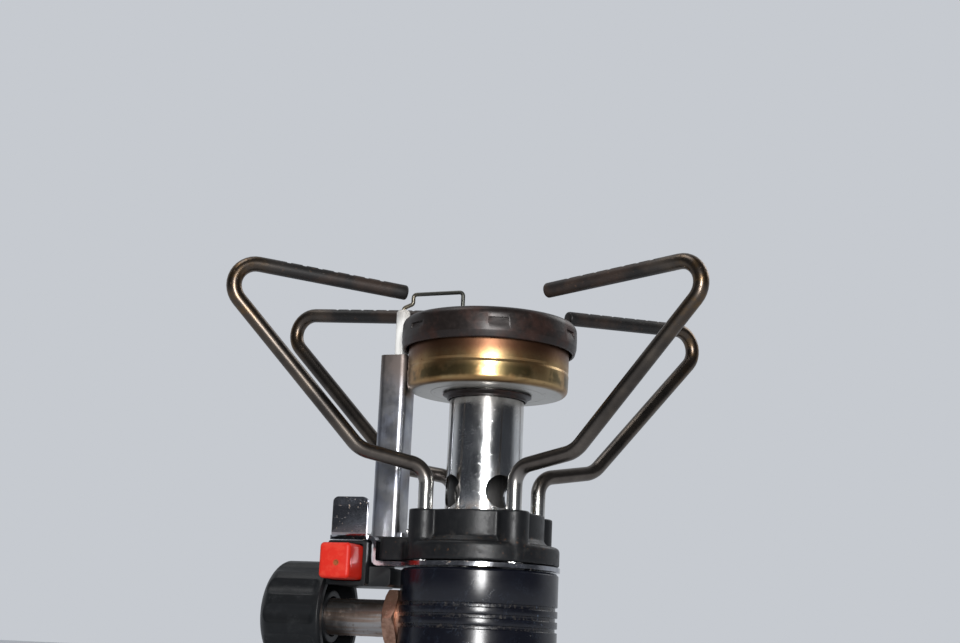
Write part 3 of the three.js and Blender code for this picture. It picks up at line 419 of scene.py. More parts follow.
colour = tint(dust * 0.40, colour, (0.060, 0.047, 0.034))
colour = tint(specks * near_grooves * 0.5, colour, (0.34, 0.33, 0.30))
feed(
    anodised,
    Base_Color=colour,
    Roughness=0.14 + 0.08 * turning + 0.4 * dust + 0.10 * cloud(place, 0.4),
    Normal=relief(turning * 0.0035 - marks * 0.004 - chips * 0.01),
)
body.data.materials.append(anodised)
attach(body, "stove")
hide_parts("valve_body")

# ======== Canister connection ========
# A brass insert with the canister's internal thread, pressed into the body, a rubber seal at its inner end,
# and a brass pin that pushes the canister's valve open. A disc of sintered bronze above it filters the gas.
collar_radius = collar_high.x
minor_radius, thread_depth, thread_pitch = 5.2, 0.45, 0.907
thread_runout, lead_in, crest_round = 2, 1.6, 0.06
collar_outline = [(minor_radius + 0.6, collar_low.z, 0.15), (collar_radius - 0.4, collar_low.z, 0.1)]
collar_outline += [(collar_radius, collar_low.z + 0.4, 0.1), (collar_radius, collar_high.z)]
collar_outline.append((minor_radius, collar_high.z))
thread_z = collar_high.z - thread_runout
while thread_z > collar_low.z + lead_in:
    collar_outline.append((minor_radius, thread_z, crest_round))
    collar_outline.append((minor_radius + thread_depth, thread_z - thread_pitch / 2, crest_round))
    thread_z -= thread_pitch
collar_outline.append((minor_radius, thread_z, crest_round))
collar = turned("collar_insert", eased(collar_outline, 0.05, 2), 96)
smooth(collar)

brass, place = start_finish("turned_brass", Metallic=1.0)
tarnish = ramp(cloud(place, 0.5, 4.0), 0.42, 0.68)
turning = cloud(place, 1.0, 2.0, (0.05, 0.05, 11.0))
feed(
    brass,
    Base_Color=tint(tarnish, (0.66, 0.47, 0.19), (0.34, 0.21, 0.09)),
    Roughness=0.24 + 0.22 * tarnish + 0.08 * turning,
    Normal=relief(turning * 0.003 + cloud(place, 3.0) * 0.002),
)
collar.data.materials.append(brass)
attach(collar, "stove")
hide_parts("canister_collar")

seal_low, seal_high = box_mm("canister_seal")
seal_section = (seal_high.z - seal_low.z) / 2
seal_circle = seal_high.x - seal_section
seal_outline = []
for i in range(20):
    angle = 2 * math.pi * i / 20
    height = seal_low.z + seal_section * (1 + math.sin(angle))
    seal_outline.append((seal_circle + seal_section * math.cos(angle), height))
seal = turned("seal_ring", seal_outline, 96)
smooth(seal, 80)

rubber, place = start_finish("rubber", IOR=1.45)
bloom = ramp(cloud(place, 1.4, 5.0), 0.45, 0.75)
feed(
    rubber,
    Base_Color=tint(bloom, (0.014, 0.014, 0.014), (0.045, 0.043, 0.040)),
    Roughness=0.55 + 0.25 * bloom,
    Normal=relief(cloud(place, 5.0, 4.0) * 0.01),
)
seal.data.materials.append(rubber)
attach(seal, "stove")
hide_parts("canister_seal")

pin_low, pin_high = box_mm("opening_pin")
pin_radius, pin_bore, cross_hole, bore_floor = 1.2, 0.6, 0.45, 5.0
flange_radius, flange_low = pin_high.x, pin_high.z - 2
pin_outline = [(0, pin_low.z, 0), (pin_radius, pin_low.z, 0.15), (pin_radius, flange_low)]
pin_outline += [(flange_radius, flange_low, 0.2), (flange_radius, pin_high.z), (pin_bore, pin_high.z)]
pin_outline += [(pin_bore, bore_floor), (0, bore_floor, 0)]
pin = turned("pin", eased(pin_outline, 0.05, closed=False), 64)
across_pin = Matrix.Translation((0, 0, bore_floor + 0.6)) @ Matrix.Rotation(math.pi / 2, 4, "Y")
carve(pin, rod(cross_hole, -2, 2, across_pin, 24))
smooth(pin)
pin.data.materials.append(brass)
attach(pin, "stove")
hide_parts("opening_pin")


def repaint(node, material):
    """Gives a piece of the frame, left in its own shape, a material."""
    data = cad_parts[node].data
    data.materials.clear()
    data.materials.append(material)


sintered, place = start_finish("sintered_bronze", Metallic=0.8)
grains = cloud(place, 6.0, 4.0)
feed(
    sintered,
    Base_Color=tint(ramp(grains, 0.35, 0.65), (0.16, 0.10, 0.05), (0.46, 0.33, 0.18)),
    Roughness=0.55 + 0.3 * grains,
    Normal=relief(grains * 0.06),
)
repaint("inlet_filter", sintered)

# ======== Spindle and gland nut ========
# A steel needle spindle, turned, with fine rings round it and brown heat stain, screws through a brass gland
# nut with a coppery tarnish, which squeezes a packing ring. A rubber ring sits in a groove on the stem.
shaft_radius = spindle_high.z - spindle_z
spindle_near, spindle_far = -spindle_high.x, -spindle_low.x
needle_tip, needle_base, needle_length = 0.35, 1.1, 1.7
stem_radius, stem_start = 1.6, 3.4
ring_floor, ring_start, ring_end = 0.9, 5.2, 6.8
shaft_start, shaft_end = 11.3, spindle_far - 6.0
stub_radius = 2.5
spindle_outline = [(0, spindle_near, 0), (needle_tip, spindle_near, 0.1)]
spindle_outline += [(needle_base, spindle_near + needle_length), (stem_radius, stem_start)]
spindle_outline += [(stem_radius, ring_start), (ring_floor, ring_start), (ring_floor, ring_end)]
spindle_outline += [(stem_radius, ring_end), (stem_radius, shaft_start)]
spindle_outline += [(shaft_radius, shaft_start, 0.3), (shaft_radius, shaft_end, 0.2)]
spindle_outline += [(stub_radius, shaft_end), (stub_radius, spindle_far), (0, spindle_far, 0)]
spindle = turned("needle_spindle", eased(spindle_outline, 0.05, closed=False), 96, to_spindle)
smooth(spindle)

spindle_steel, place = start_finish("turned_spindle_steel", Metallic=1.0)
rings = cloud(place, 1.0, 3.0, (7.0, 0.04, 0.04))
bands = cloud(place, 1.0, 2.0, (0.05, 0.5, 0.9))
brown = ramp(bands, 0.38, 0.62)
grime = ramp(cloud(place, 0.8, 5.0), 0.52, 0.72)
colour = tint(brown, (0.40, 0.385, 0.38), (0.30, 0.225, 0.185))
feed(
    spindle_steel,
    Base_Color=tint(grime * 0.6, colour, (0.10, 0.075, 0.055)),
    Roughness=0.30 + 0.16 * rings + 0.2 * grime,
    Normal=relief(rings * 0.006 + cloud(place, 3.0) * 0.003),
)
spindle.data.materials.append(spindle_steel)
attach(spindle, "knob")
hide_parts("valve_spindle")


def soften(piece, width, segments=2, angle=50):
    """Breaks a piece's sharp edges by this width in millimetres."""
    edges = piece.modifiers.new("edges", "BEVEL")
    edges.width = width / 1000
    edges.segments = segments
    edges.limit_method = "ANGLE"
    edges.angle_limit = math.radians(angle)
    return settle(piece)


nut_low, nut_high = box_mm("gland_nut")
nut_thickness, nut_chamfer = 2.8, 0.5
nut_shank, nut_shank_end, nut_bore = 5.2, 12.5, 4.12
nut_far = -nut_low.x
nut_near = nut_far - nut_thickness
nut_corner = nut_high.y
hexagon = turned(
    "gland_hexagon",
    [(0, nut_near), (nut_corner, nut_near), (nut_corner, nut_far), (0, nut_far)],
    6,
    to_spindle @ Matrix.Rotation(math.pi / 2, 4, "Z"),
)
nut_cone = [(0, nut_near, 0), (nut_corner - 0.7, nut_near), (nut_corner + 0.05, nut_near + nut_chamfer, 0.3)]
nut_cone += [(nut_corner + 0.05, nut_far - nut_chamfer, 0.3), (nut_corner - 0.7, nut_far), (0, nut_far, 0)]
carve(hexagon, turned("cutter", eased(nut_cone, 0, closed=False), 96, to_spindle), operation="INTERSECT")
carve(hexagon, rod(nut_shank, nut_shank_end, nut_near + 1, to_spindle, 96), operation="UNION")
carve(hexagon, rod(nut_bore, nut_shank_end - 1.5, nut_far + 1, to_spindle, 96))
soften(hexagon, 0.12)
smooth(hexagon, 28)

copper, place = start_finish("tarnished_gland", Metallic=1.0)
stain = ramp(cloud(place, 0.55, 5.0), 0.36, 0.66)
grit = ramp(cloud(place, 3.2, 4.0), 0.66, 0.72)
rings = cloud(place, 1.0, 2.0, (6.0, 0.1, 0.1))
colour = tint(stain, (0.50, 0.30, 0.22), (0.27, 0.155, 0.11))
feed(
    copper,
    Base_Color=tint(grit, colour, (0.62, 0.55, 0.44)),
    Roughness=0.30 + 0.2 * stain + 0.1 * rings,
    Normal=relief(rings * 0.004 + cloud(place, 2.2, 4.0) * 0.012),
)
hexagon.data.materials.append(copper)
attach(hexagon, "stove")
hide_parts("gland_nut")
repaint("gland_packing", rubber)
repaint("spindle_ring", rubber)

# ======== Knob ========
# A moulded black plastic knob with a satin skin: twelve broad shallow flutes, a domed end with a screw well,
# a hollow back and a hub that the spindle's stub fits. A slotted screw holds it.
knob_low, knob_high = box_mm("knob")
knob_near, knob_far = -knob_high.x, -knob_low.x
knob_radius = knob_high.z - spindle_z
dome_depth = 5.2
flute_radius, flute_depth = 3.5, 0.7
flute_angle = math.pi / 6
hub_hole, hub_radius, shell_radius, skin_start = 4.3, 5.7, 9.6, 10.2
well_radius, screw_hole = 2.8, 1.3


def fluted(radius, along, angle):
    """Pulls the knob's outer skin in where a flute's round floor passes, with softened ridges."""
    if radius < skin_start or along < knob_near + 0.6:
        return radius, along
    centre = knob_radius + flute_radius - flute_depth
    nearest = (angle + flute_angle / 2) % flute_angle - flute_angle / 2
    side = centre * math.sin(nearest)
    if abs(side) >= flute_radius:
        return radius, along
    floor_radius = centre * math.cos(nearest) - math.sqrt(flute_radius**2 - side**2)
    fade = min(1, max(0, (along - knob_near - 0.6) / 1.4))
    floor_radius += (1 - fade) * 1.5
    soft = 0.18
    mix = min(1, max(0, 0.5 + 0.5 * (radius - floor_radius) / soft))
    return radius * (1 - mix) + floor_radius * mix - soft * mix * (1 - mix), along


dome = []
for i in range(25):
    angle = math.radians(78 * i / 24)
    dome.append((knob_radius * math.cos(angle), knob_far - dome_depth * (1 - math.sin(angle)), 0))
wall = [(knob_radius, knob_near + 0.5 + 0.45 * i, 0) for i in range(1, 22)]
knob_outline = [(hub_hole, knob_near + 1.5), (hub_radius, knob_near + 1.5, 0.3), (hub_radius, knob_near + 9)]
knob_outline += [(shell_radius, knob_near + 9), (shell_radius, knob_near + 0.4), (10, knob_near, 0.1)]
knob_outline += [(knob_radius - 0.5, knob_near, 0.3), (knob_radius, knob_near + 0.5, 0.3), *wall, *dome]
knob_outline += [(well_radius, knob_far - 0.15, 0.2), (well_radius, knob_near + 12.6)]
knob_outline += [(screw_hole, knob_near + 12.6), (screw_hole, knob_near + 11), (well_radius, knob_near + 11)]
knob_outline += [(well_radius, knob_near + 5), (hub_hole, knob_near + 5)]
knob = turned("knob_moulding", eased(knob_outline, 0.12), 360, to_spindle, fluted)
smooth(knob, 40)

black_plastic, place = start_finish("black_plastic", IOR=1.45, Specular_IOR_Level=0.28)
grain = cloud(place, 7.0, 3.0)
dusty = ramp(cloud(place, 0.35, 6.0), 0.50, 0.80)
scuffs = scratches(place, 1.6, (0.2, 0.4, 1.1), 0.0005)
colour = tint(cloud(place, 0.2), (0.0035, 0.0040, 0.0048), (0.0065, 0.0072, 0.0080))
colour = tint(scuffs * 0.15 + dusty * 0.05, colour, (0.10, 0.105, 0.11))
feed(
    black_plastic,
    Base_Color=colour,
    Roughness=0.36 + 0.10 * grain + 0.18 * dusty,
    Normal=relief(grain * 0.006 - scuffs * 0.004),
)
knob.data.materials.append(black_plastic)
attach(knob, "knob")
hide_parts("knob")


def screw(name, shank, head, tip, seat, head_height, turn):
    """A cheese-head screw about Z, then placed, with a driver slot."""
    top = seat + head_height
    outline = [(0, tip, 0), (shank, tip, 0.2), (shank, seat), (head, seat), (head, top - 0.25, 0.3)]
    outline += [(head * 0.55, top, 0.6), (0, top, 0)]
    made = turned(name, eased(outline, 0.06, closed=False), 64, turn)
    slot = bmesh.new()
    bmesh.ops.create_cube(slot, size=1)
    slot_width, slot_height = 0.5, 1.6
    bmesh.ops.scale(slot, vec=(2 * head + 1, slot_width, slot_height), verts=slot.verts)
    bmesh.ops.translate(slot, vec=(0, 0, top + 0.1), verts=slot.verts)
    bmesh.ops.transform(slot, matrix=turn @ Matrix.Rotation(0.6, 4, "Z"), verts=slot.verts)
    carve(made, object_from("cutter", slot))
    smooth(made)
    return made


knob_screw_low, knob_screw_high = box_mm("knob_screw")
knob_screw_top = -knob_screw_low.x
knob_screw = screw("knob_fixing_screw", 0.9, 2.4, -knob_screw_high.x, knob_screw_top - 1.7, 1.7, to_spindle)

screw_steel, place = start_finish("plated_screw_steel", Metallic=1.0)
dull = ramp(cloud(place, 0.9, 5.0), 0.40, 0.70)
feed(
    screw_steel,
    Base_Color=tint(dull, (0.55, 0.55, 0.54), (0.30, 0.28, 0.26)),
    Roughness=0.24 + 0.25 * dull,
    Normal=relief(cloud(place, 2.5, 4.0) * 0.008),
)
knob_screw.data.materials.append(screw_steel)
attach(knob_screw, "knob")
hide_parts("knob_screw")

# ======== Bracket ========
# One blank of nickel-plated steel sheet under the crown: a round plate, a step up to a shelf for the igniter,
# and a tab folded up at the front of the shelf. Its cut edge is bright, with specks of rust.
sheet, bend_inside = 0.9, 0.6
plate_radius, plate_bottom = bracket_high.x, bracket_low.z
shelf_rise = 5.3
shelf_bottom = plate_bottom + shelf_rise
shelf_top, shelf_end = shelf_bottom + sheet, bracket_low.x
tab_width, tab_height, tab_top = 7.9, 5, bracket_high.z
riser_x = -(body_radius + 4.55)
bracket_half = 8.0
button_low, button_high = box_mm("piezo_button")
button_x = (button_low.x + button_high.x) / 2
tab_x = button_x - 0.3


def bent_strip(corners, steps=8):
    """The outline of a bent strip of sheet whose middle line runs through the corners."""
    ends = [(*corners[0], 0)] + [(*c, bend_inside + sheet / 2) for c in corners[1:-1]] + [(*corners[-1], 0)]
    line = [Vector(p) for p in eased(ends, 0, steps, closed=False)]
    near, far = [], []
    for i, point in enumerate(line):
        along = (line[min(i + 1, len(line) - 1)] - line[max(i - 1, 0)]).normalized()
        half = Vector((-along.y, along.x)) * sheet / 2
        near.append(tuple(point + half))
        far.append(tuple(point - half))
    return near + far[::-1]


def drawn(name, outline, near, far, turn=Matrix()):
    """A flat outline pulled from one height to another along Z, then placed."""
    mesh = bmesh.new()
    low = [mesh.verts.new((a, b, near)) for a, b in outline]
    high = [mesh.verts.new((a, b, far)) for a, b in outline]
    mesh.faces.new(low[::-1])
    mesh.faces.new(high)
    for i in range(len(outline)):
        j = (i + 1) % len(outline)
        mesh.faces.new((low[i], low[j], high[j], high[i]))
    bmesh.ops.transform(mesh, matrix=turn, verts=mesh.verts)
    return object_from(name, mesh)


# An outline in X and Z is pulled along -Y by this turn, and one in Y and Z along X by the next.
along_y = Matrix.Rotation(math.pi / 2, 4, "X")
along_x = Matrix(((0, 0, 1, 0), (1, 0, 0, 0), (0, 1, 0, 0), (0, 0, 0, 1)))


def rounded_rectangle(a, b, width, height, radius, steps=6):
    """A rectangle about a point, with rounded corners."""
    w, h = width / 2, height / 2
    return eased([(a - w, b - h), (a + w, b - h), (a + w, b + h), (a - w, b + h)], radius, steps)


plate_middle, shelf_middle = plate_bottom + sheet / 2, shelf_bottom + sheet / 2
plate = rod(plate_radius, plate_bottom, plate_bottom + sheet, sides=192)
plate.name = "sheet_bracket"
step_line = [(-8, plate_middle), (riser_x, plate_middle), (riser_x, shelf_middle), (shelf_end, shelf_middle)]
strip = drawn("cutter", bent_strip(step_line), -bracket_half, bracket_half, along_y)
tab_middle = -bracket_half - sheet / 2
tab_line = [(tab_middle + 4, shelf_middle), (tab_middle, shelf_middle), (tab_middle, tab_top - 2)]
tab_foot = drawn("cutter", bent_strip(tab_line), tab_x - tab_width / 2, tab_x + tab_width / 2, along_x)
tab_outline = rounded_rectangle(tab_x, tab_top - tab_height / 2, tab_width, tab_height, 1.2)
tab_face = drawn("cutter", tab_outline, -tab_middle - sheet / 2, -tab_middle + sheet / 2, along_y)
carve(plate, strip, tab_foot, tab_face, operation="UNION")
gas_hole, crown_screw_hole, small_screw_hole = 6.8, 1.6, 1.2
bracket_cuts = [rod(gas_hole, plate_bottom - 1, plate_bottom + 2)]
screw_places = []
for number in (1, 2, 3):
    low, high = box_mm(f"crown_screw_{number}")
    screw_places.append((low + high) / 2)
for at in screw_places:
    at_screw = Matrix.Translation((at.x, at.y, 0))
    bracket_cuts.append(rod(crown_screw_hole, plate_bottom - 1, plate_bottom + 2, at_screw, 32))
piezo_screw_low, piezo_screw_high = box_mm("piezo_screw")
piezo_screw_at = (piezo_screw_low + piezo_screw_high) / 2
at_piezo_screw = Matrix.Translation((piezo_screw_at.x, piezo_screw_at.y, 0))
bracket_cuts.append(rod(small_screw_hole, shelf_bottom - 1, shelf_top + 1, at_piezo_screw, 32))
carve(plate, *bracket_cuts)
soften(plate, 0.12)
smooth(plate, 30)

sheet_steel, place = start_finish("nickel_plated_sheet", Metallic=1.0)
z = parts(place)[2]
smudge = ramp(cloud(place, 0.22, 5.0), 0.38, 0.68)
fine = cloud(place, 4.0, 3.0, (1.0, 1.0, 0.12))
rust = ramp(cloud(place, 1.5, 6.0), 0.63, 0.70)
lines = scratches(place, 2.4, (0.1, 0.2, 0.3), 0.0007)
low_stain = (1 - ramp(z, shelf_top + 0.6, shelf_top + 3.4)) * ramp(z, shelf_top - 0.4, shelf_top + 0.4)
colour = tint(smudge, (0.50, 0.505, 0.53), (0.30, 0.315, 0.36))
colour = tint(low_stain * 0.35, colour, (0.34, 0.20, 0.16))
colour = tint(rust * 0.75, colour, (0.30, 0.17, 0.05))
feed(
    sheet_steel,
    Base_Color=colour,
    Roughness=0.10 + 0.10 * smudge + 0.05 * fine + 0.4 * rust + 0.1 * lines,
    Normal=relief(fine * 0.0012 + cloud(place, 0.3) * 0.010 + rust * 0.012),
)
plate.data.materials.append(sheet_steel)
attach(plate, "stove")
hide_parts("bracket")

# ======== Crown ========
# A die-cast ring on the bracket, painted satin black, with four bosses for the arms' legs, wells for its
# three screws and an ear that fills the bracket's step. Casting leaves soft edges and a fine speckle.
crown_low, crown_high = box_mm("crown")
crown_bottom, crown_top = crown_low.z, crown_high.z
flange_top = crown_bottom + 4
crown_radius = body_radius + 0.05
ring_radius, land_radius = 13.4, 14.1
boss_radius, wire_radius, foot_radius = 3.3, 1.6, 2.4
leg_gap, tube_gap, tube_ledge = 0.12, 0.3, 1.2
foot_well_top = crown_bottom + 1.95
screw_well, screw_well_depth = 2.2, 3
tube_low, tube_high = box_mm("mixing_tube")
tube_radius = (tube_high.x - tube_low.x) / 2
arm_names = ("front_left", "front_right", "rear_right", "rear_left")
leg_places = []
for name in arm_names:
    low, high = box_mm(f"arm_washer_{name}")
    leg_places.append(Vector(((low.x + high.x) / 2, (low.y + high.y) / 2, 0)))

flange = [(0, crown_bottom, 0), (crown_radius, crown_bottom, 0.1), (crown_radius, flange_top, 0.9)]
casting = turned("crown_casting", eased([*flange, (0, flange_top, 0)], 0.2, 6, closed=False), 144)
ring_wall = [(0, flange_top - 1), (land_radius, flange_top - 1), (land_radius, flange_top + 0.5)]
ring_wall += [(land_radius - 0.3, flange_top + 0.7), (ring_radius, flange_top + 1.2)]
ring_wall += [(ring_radius, crown_top), (0, crown_top)]
joined = [turned("cutter", ring_wall, 144)]
ear_start, ear_end, ear_width = -8, crown_low.x, 15.2
ear = rounded_rectangle((ear_end + ear_start) / 2, 0, ear_start - ear_end, ear_width, 1.2)
joined.append(drawn("cutter", ear, crown_bottom, shelf_top))
bored = [
    rod(tube_radius + tube_gap, crown_bottom + 1.3, crown_top + 1, sides=96),
    rod(tube_radius - tube_ledge, crown_bottom - 1, crown_bottom + 2, sides=96),
]
for leg in leg_places:
    at_leg = Matrix.Translation(leg)
    joined.append(rod(boss_radius, crown_bottom, crown_top, at_leg, 64))
    bored.append(rod(wire_radius + leg_gap, crown_bottom, crown_top + 1, at_leg, 48))
    bored.append(rod(foot_radius + leg_gap, crown_bottom - 1, foot_well_top, at_leg, 48))
for at in screw_places:
    at_screw = Matrix.Translation((at.x, at.y, 0))
    bored.append(rod(crown_screw_hole, crown_bottom - 1, crown_top + 1, at_screw, 32))
    bored.append(rod(screw_well, crown_top - screw_well_depth, crown_top + 1, at_screw, 48))
guard_screw_low, guard_screw_high = box_mm("guard_screw")
guard_screw_at = (guard_screw_low + guard_screw_high) / 2
at_guard_screw = Matrix.Translation((guard_screw_at.x, guard_screw_at.y, 0))
bored.append(rod(small_screw_hole, shelf_top - 4.2, shelf_top + 1, at_guard_screw, 32))
carve(casting, *joined, operation="UNION")
remesh = casting.modifiers.new("soft edges", "REMESH")
remesh.mode = "VOXEL"
remesh.voxel_size = 0.00026
rounding = casting.modifiers.new("rounding", "SMOOTH")
rounding.factor, rounding.iterations = 0.5, 7
settle(casting)
carve(casting, *bored)
smooth(casting, 42)

casting_paint, place = start_finish("black_casting", IOR=1.45, Specular_IOR_Level=0.28)
z = parts(place)[2]
speckle = cloud(place, 4.5, 5.0)
dusty = ramp(cloud(place, 0.5, 6.0), 0.48, 0.75)
crevice = (1 - ramp(z, flange_top + 0.6, flange_top + 3.6)) * ramp(z, crown_bottom, crown_bottom + 2.0)
rust = ramp(cloud(place, 1.3, 6.0), 0.62, 0.69) * crevice
colour = tint(speckle, (0.0030, 0.0032, 0.0038), (0.0085, 0.0090, 0.0100))
colour = tint(dusty * crevice * 0.18, colour, (0.07, 0.06, 0.05))
colour = tint(rust * 0.35, colour, (0.12, 0.055, 0.025))
feed(
    casting_paint,
    Base_Color=colour,
    Roughness=0.30 + 0.16 * speckle + 0.20 * dusty,
    Normal=relief(speckle * 0.022 + cloud(place, 0.7) * 0.03),
)
casting.data.materials.append(casting_paint)
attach(casting, "stove")
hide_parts("crown")

for number, at in enumerate(screw_places, 1):
    low, high = box_mm(f"crown_screw_{number}")
    at_screw = Matrix.Translation((at.x, at.y, 0))
    holding = screw(f"crown_fixing_screw_{number}", 1.25, 2.0, low.z, high.z - 1.8, 1.8, at_screw)
    holding.data.materials.append(screw_steel)
    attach(holding, "stove")
    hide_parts(f"crown_screw_{number}")

# ======== Pot arms ========
# Four stainless wires, each bent to a leg, a crank, a slant, a hairpin and a bar with pressed notches. The
# leg stays bright. Above it the heat has turned the wire brown, straw at the hairpin and black by the flame.
cap_low, cap_high = box_mm("burner_cap")
crank_height, crank_rise, crank_reach = 20.7, 2.7, 15.0
arm_reach, tip_reach, bar_over_cap, bar_rise = 51.0, 6.5, 4.1, 3.0
bend_radii = (4.2, 6.5, 4.7)
foot_thickness = 1.2
notch_start, notch_pitch, notch_depth, notch_count = 6, 3.4, 0.35, 7


def bent_path(corners, radii, steps, longest):
    """Points along a bent line with round bends, none further apart than the longest step."""
    points = [corners[0]]
    for i in range(1, len(corners) - 1):
        before = (corners[i] - corners[i - 1]).normalized()
        after = (corners[i + 1] - corners[i]).normalized()
        turn = before.angle(after)
        start = corners[i] - before * radii[i - 1] * math.tan(turn / 2)
        inward = (after - before * before.dot(after)).normalized()
        bend = []
        for k in range(steps + 1):
            angle = turn * k / steps
            bend.append(start + radii[i - 1] * (before * math.sin(angle) + inward * (1 - math.cos(angle))))
        points += [*straight(points[-1], bend[0], longest), *bend[1:]]
    return points + straight(points[-1], corners[-1], longest)


def straight(start, end, longest):
    """Points after the start, up to the end."""
    count = max(1, math.ceil((end - start).length / longest))
    return [start.lerp(end, (k + 1) / count) for k in range(count)]


def wire(name, points, radius, sides, ends=(0.3, 0.3), turn=Matrix()):
    """A round wire along points, with its two ends rounded over."""
    stations = []
    for here, ahead, back in ((points[0], points[1], False), (points[-1], points[-2], True)):
        inward = (ahead - here).normalized()
        round_off = ends[1] if back else ends[0]
        cap = []
        for k in range(5):
            angle = math.pi / 2 * k / 4
            at = here + inward * round_off * (1 - math.sin(angle))
            cap.append((at, radius - round_off * (1 - math.cos(angle))))
        stations.append(cap)
    rings = sorted(stations[0], key=lambda s: (s[0] - points[0]).length)
    rings += [(p, radius) for p in points[1:-1]]
    rings += sorted(stations[1], key=lambda s: -(s[0] - points[-1]).length)
    mesh = bmesh.new()
    up = Vector((0, 1, 0)) if abs((rings[1][0] - rings[0][0]).normalized().y) < 0.9 else Vector((1, 0, 0))
    loops = []
    for i, (point, r) in enumerate(rings):
        along = (rings[min(i + 1, len(rings) - 1)][0] - rings[max(i - 1, 0)][0]).normalized()
        side = up.cross(along).normalized()
        up = along.cross(side).normalized()
        loop = []
        for k in range(sides):
            angle = 2 * math.pi * k / sides
            loop.append(mesh.verts.new(point + r * (side * math.cos(angle) + up * math.sin(angle))))
        loops.append(loop)
    for low, high in zip(loops, loops[1:]):
        for k in range(sides):
            j = (k + 1) % sides
            mesh.faces.new((low[k], low[j], high[j], high[k]))
    mesh.faces.new(loops[0])
    mesh.faces.new(loops[-1])
    bmesh.ops.transform(mesh, matrix=turn, verts=mesh.verts)
    return object_from(name, mesh)


arm_steel, place = start_finish("heat_tinted_wire", Metallic=1.0)
x, y, z = parts(place)
reach = far_from_axis(x, y)
wander = cloud(place, 0.09, 3.0)
blotch = cloud(place, 0.45, 4.0)
crank_level = plate_bottom + crank_height
hot = ramp(z + 6.0 * wander, crank_level - 5.5, crank_level + 3.0)
slant = ramp(z + 10.0 * wander, crank_level + 7.0, crank_level + 15.0)
near_bar = ramp(z + 4.0 * wander, cap_high.z - 6.0, cap_high.z + 5.0)
hairpin = ramp(reach + 5.0 * wander, 50.0, 60.0) * ramp(z, crank_level + 15.0, cap_high.z - 5.0)
black = near_bar * (1 - ramp(reach + 7.0 * wander, 46.0, 58.0))
drawn_out = cloud(place, 1.2, 3.0)
colour = tint(blotch, (0.66, 0.655, 0.64), (0.52, 0.51, 0.49))
colour = tint(hot, colour, tint(blotch, (0.085, 0.074, 0.066), (0.180, 0.155, 0.134)))
sooty = tint(ramp(wander, 0.4, 0.6), (0.046, 0.041, 0.038), (0.112, 0.092, 0.074))
colour = tint(slant * 0.75, colour, sooty)
straw_tone = tint(ramp(blotch, 0.35, 0.6), (0.150, 0.098, 0.055), (0.098, 0.078, 0.063))
colour = tint(hairpin, colour, straw_tone)
scorched = tint(ramp(wander, 0.46, 0.64), (0.0100, 0.0090, 0.0085), (0.030, 0.019, 0.014))
colour = tint(black, colour, scorched)
crust = ramp(drawn_out, 0.62, 0.72) * near_bar
colour = tint(crust * 0.4, colour, (0.085, 0.045, 0.026))
feed(
    arm_steel,
    Base_Color=colour,
    Metallic=1 - 0.7 * black,
    Roughness=0.19 + 0.09 * hot + 0.06 * blotch + 0.16 * black + 0.25 * crust,
    Normal=relief(drawn_out * 0.004 + crust * 0.02),
)

for name, leg in zip(arm_names, leg_places):
    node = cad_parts[f"arm_{name}"]
    centre = sum((vertex.co for vertex in node.data.vertices), Vector()) / len(node.data.vertices) * 1000
    direction = math.atan2(centre.y - leg.y, centre.x - leg.x)
    foot_bottom = box_mm(f"arm_{name}")[0].z
    bar_z = cap_high.z + bar_over_cap
    arm_corners = [(0, foot_bottom), (0, crank_level), (crank_reach, crank_level + crank_rise)]
    arm_corners += [(arm_reach, bar_z + bar_rise), (tip_reach, bar_z)]
    arm_corners = [Vector((s, 0, h)) for s, h in arm_corners]
    to_leg = Matrix.Translation(leg) @ Matrix.Rotation(direction, 4, "Z")
    arm_path = bent_path(arm_corners, bend_radii, 14, 2.0)
    arm = wire(f"pot_arm_{name}", arm_path, wire_radius, 32, (0.2, 0.55), to_leg)
    foot_top = foot_bottom + foot_thickness
    foot = [(0, foot_bottom, 0), (foot_radius, foot_bottom, 0.15), (foot_radius, foot_top, 0.15)]
    foot = eased([*foot, (0, foot_top, 0)], 0, closed=False)
    carve(arm, turned("cutter", foot, 48, Matrix.Translation(leg)), operation="UNION")
    climb = math.atan2(bar_rise, arm_reach - tip_reach)
    notches = []
    notch_outline = eased([(-0.95, 1.0), (0.95, 1.0), (0.45, -notch_depth), (-0.45, -notch_depth)], 0.12, 2)
    for i in range(notch_count):
        along = notch_start + i * notch_pitch
        at_notch = to_leg @ Matrix.Translation((tip_reach + along, 0, bar_z + along * math.tan(climb)))
        at_notch = at_notch @ Matrix.Rotation(-climb, 4, "Y") @ Matrix.Translation((0, 0, wire_radius))
        notches.append(drawn("cutter", notch_outline, -2, 2, at_notch @ along_y))
    carve(arm, *notches)
    smooth(arm, 40)
    arm.data.materials.append(arm_steel)
    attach(arm, f"arm_{name}")
    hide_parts(f"arm_{name}")
    repaint(f"arm_washer_{name}", screw_steel)

# ======== Jet and mixing tube ========
# A brass jet with a fine hole stands inside a chromed tube with four air holes. The tube is polished, with a
# few scratches, and stained brown where it stands in the crown. Its bore is painted near black as shade.
jet_low, jet_high = box_mm("jet")
nozzle_radius, nozzle_tip, gas_hole_radius = 2.6, 1.2, 0.3
hex_corner, hex_low, hex_height = 4.4, body_top + 0.3, 3.2
hex_top = hex_low + hex_height
hex_outline = [(0, hex_low), (hex_corner, hex_low), (hex_corner, hex_top), (0, hex_top)]
jet = turned("jet_nozzle", hex_outline, 6)
hex_cone = [(0, hex_low - 1), (hex_corner + 0.05, hex_low - 1), (hex_corner + 0.05, hex_low + 2.8)]
hex_cone += [(3.8, hex_low + 3.3), (0, hex_low + 3.3)]
carve(jet, turned("cutter", hex_cone, 64), operation="INTERSECT")
nozzle = [(0, jet_low.z, 0), (nozzle_radius, jet_low.z, 0.2), (nozzle_radius, jet_high.z - 4)]
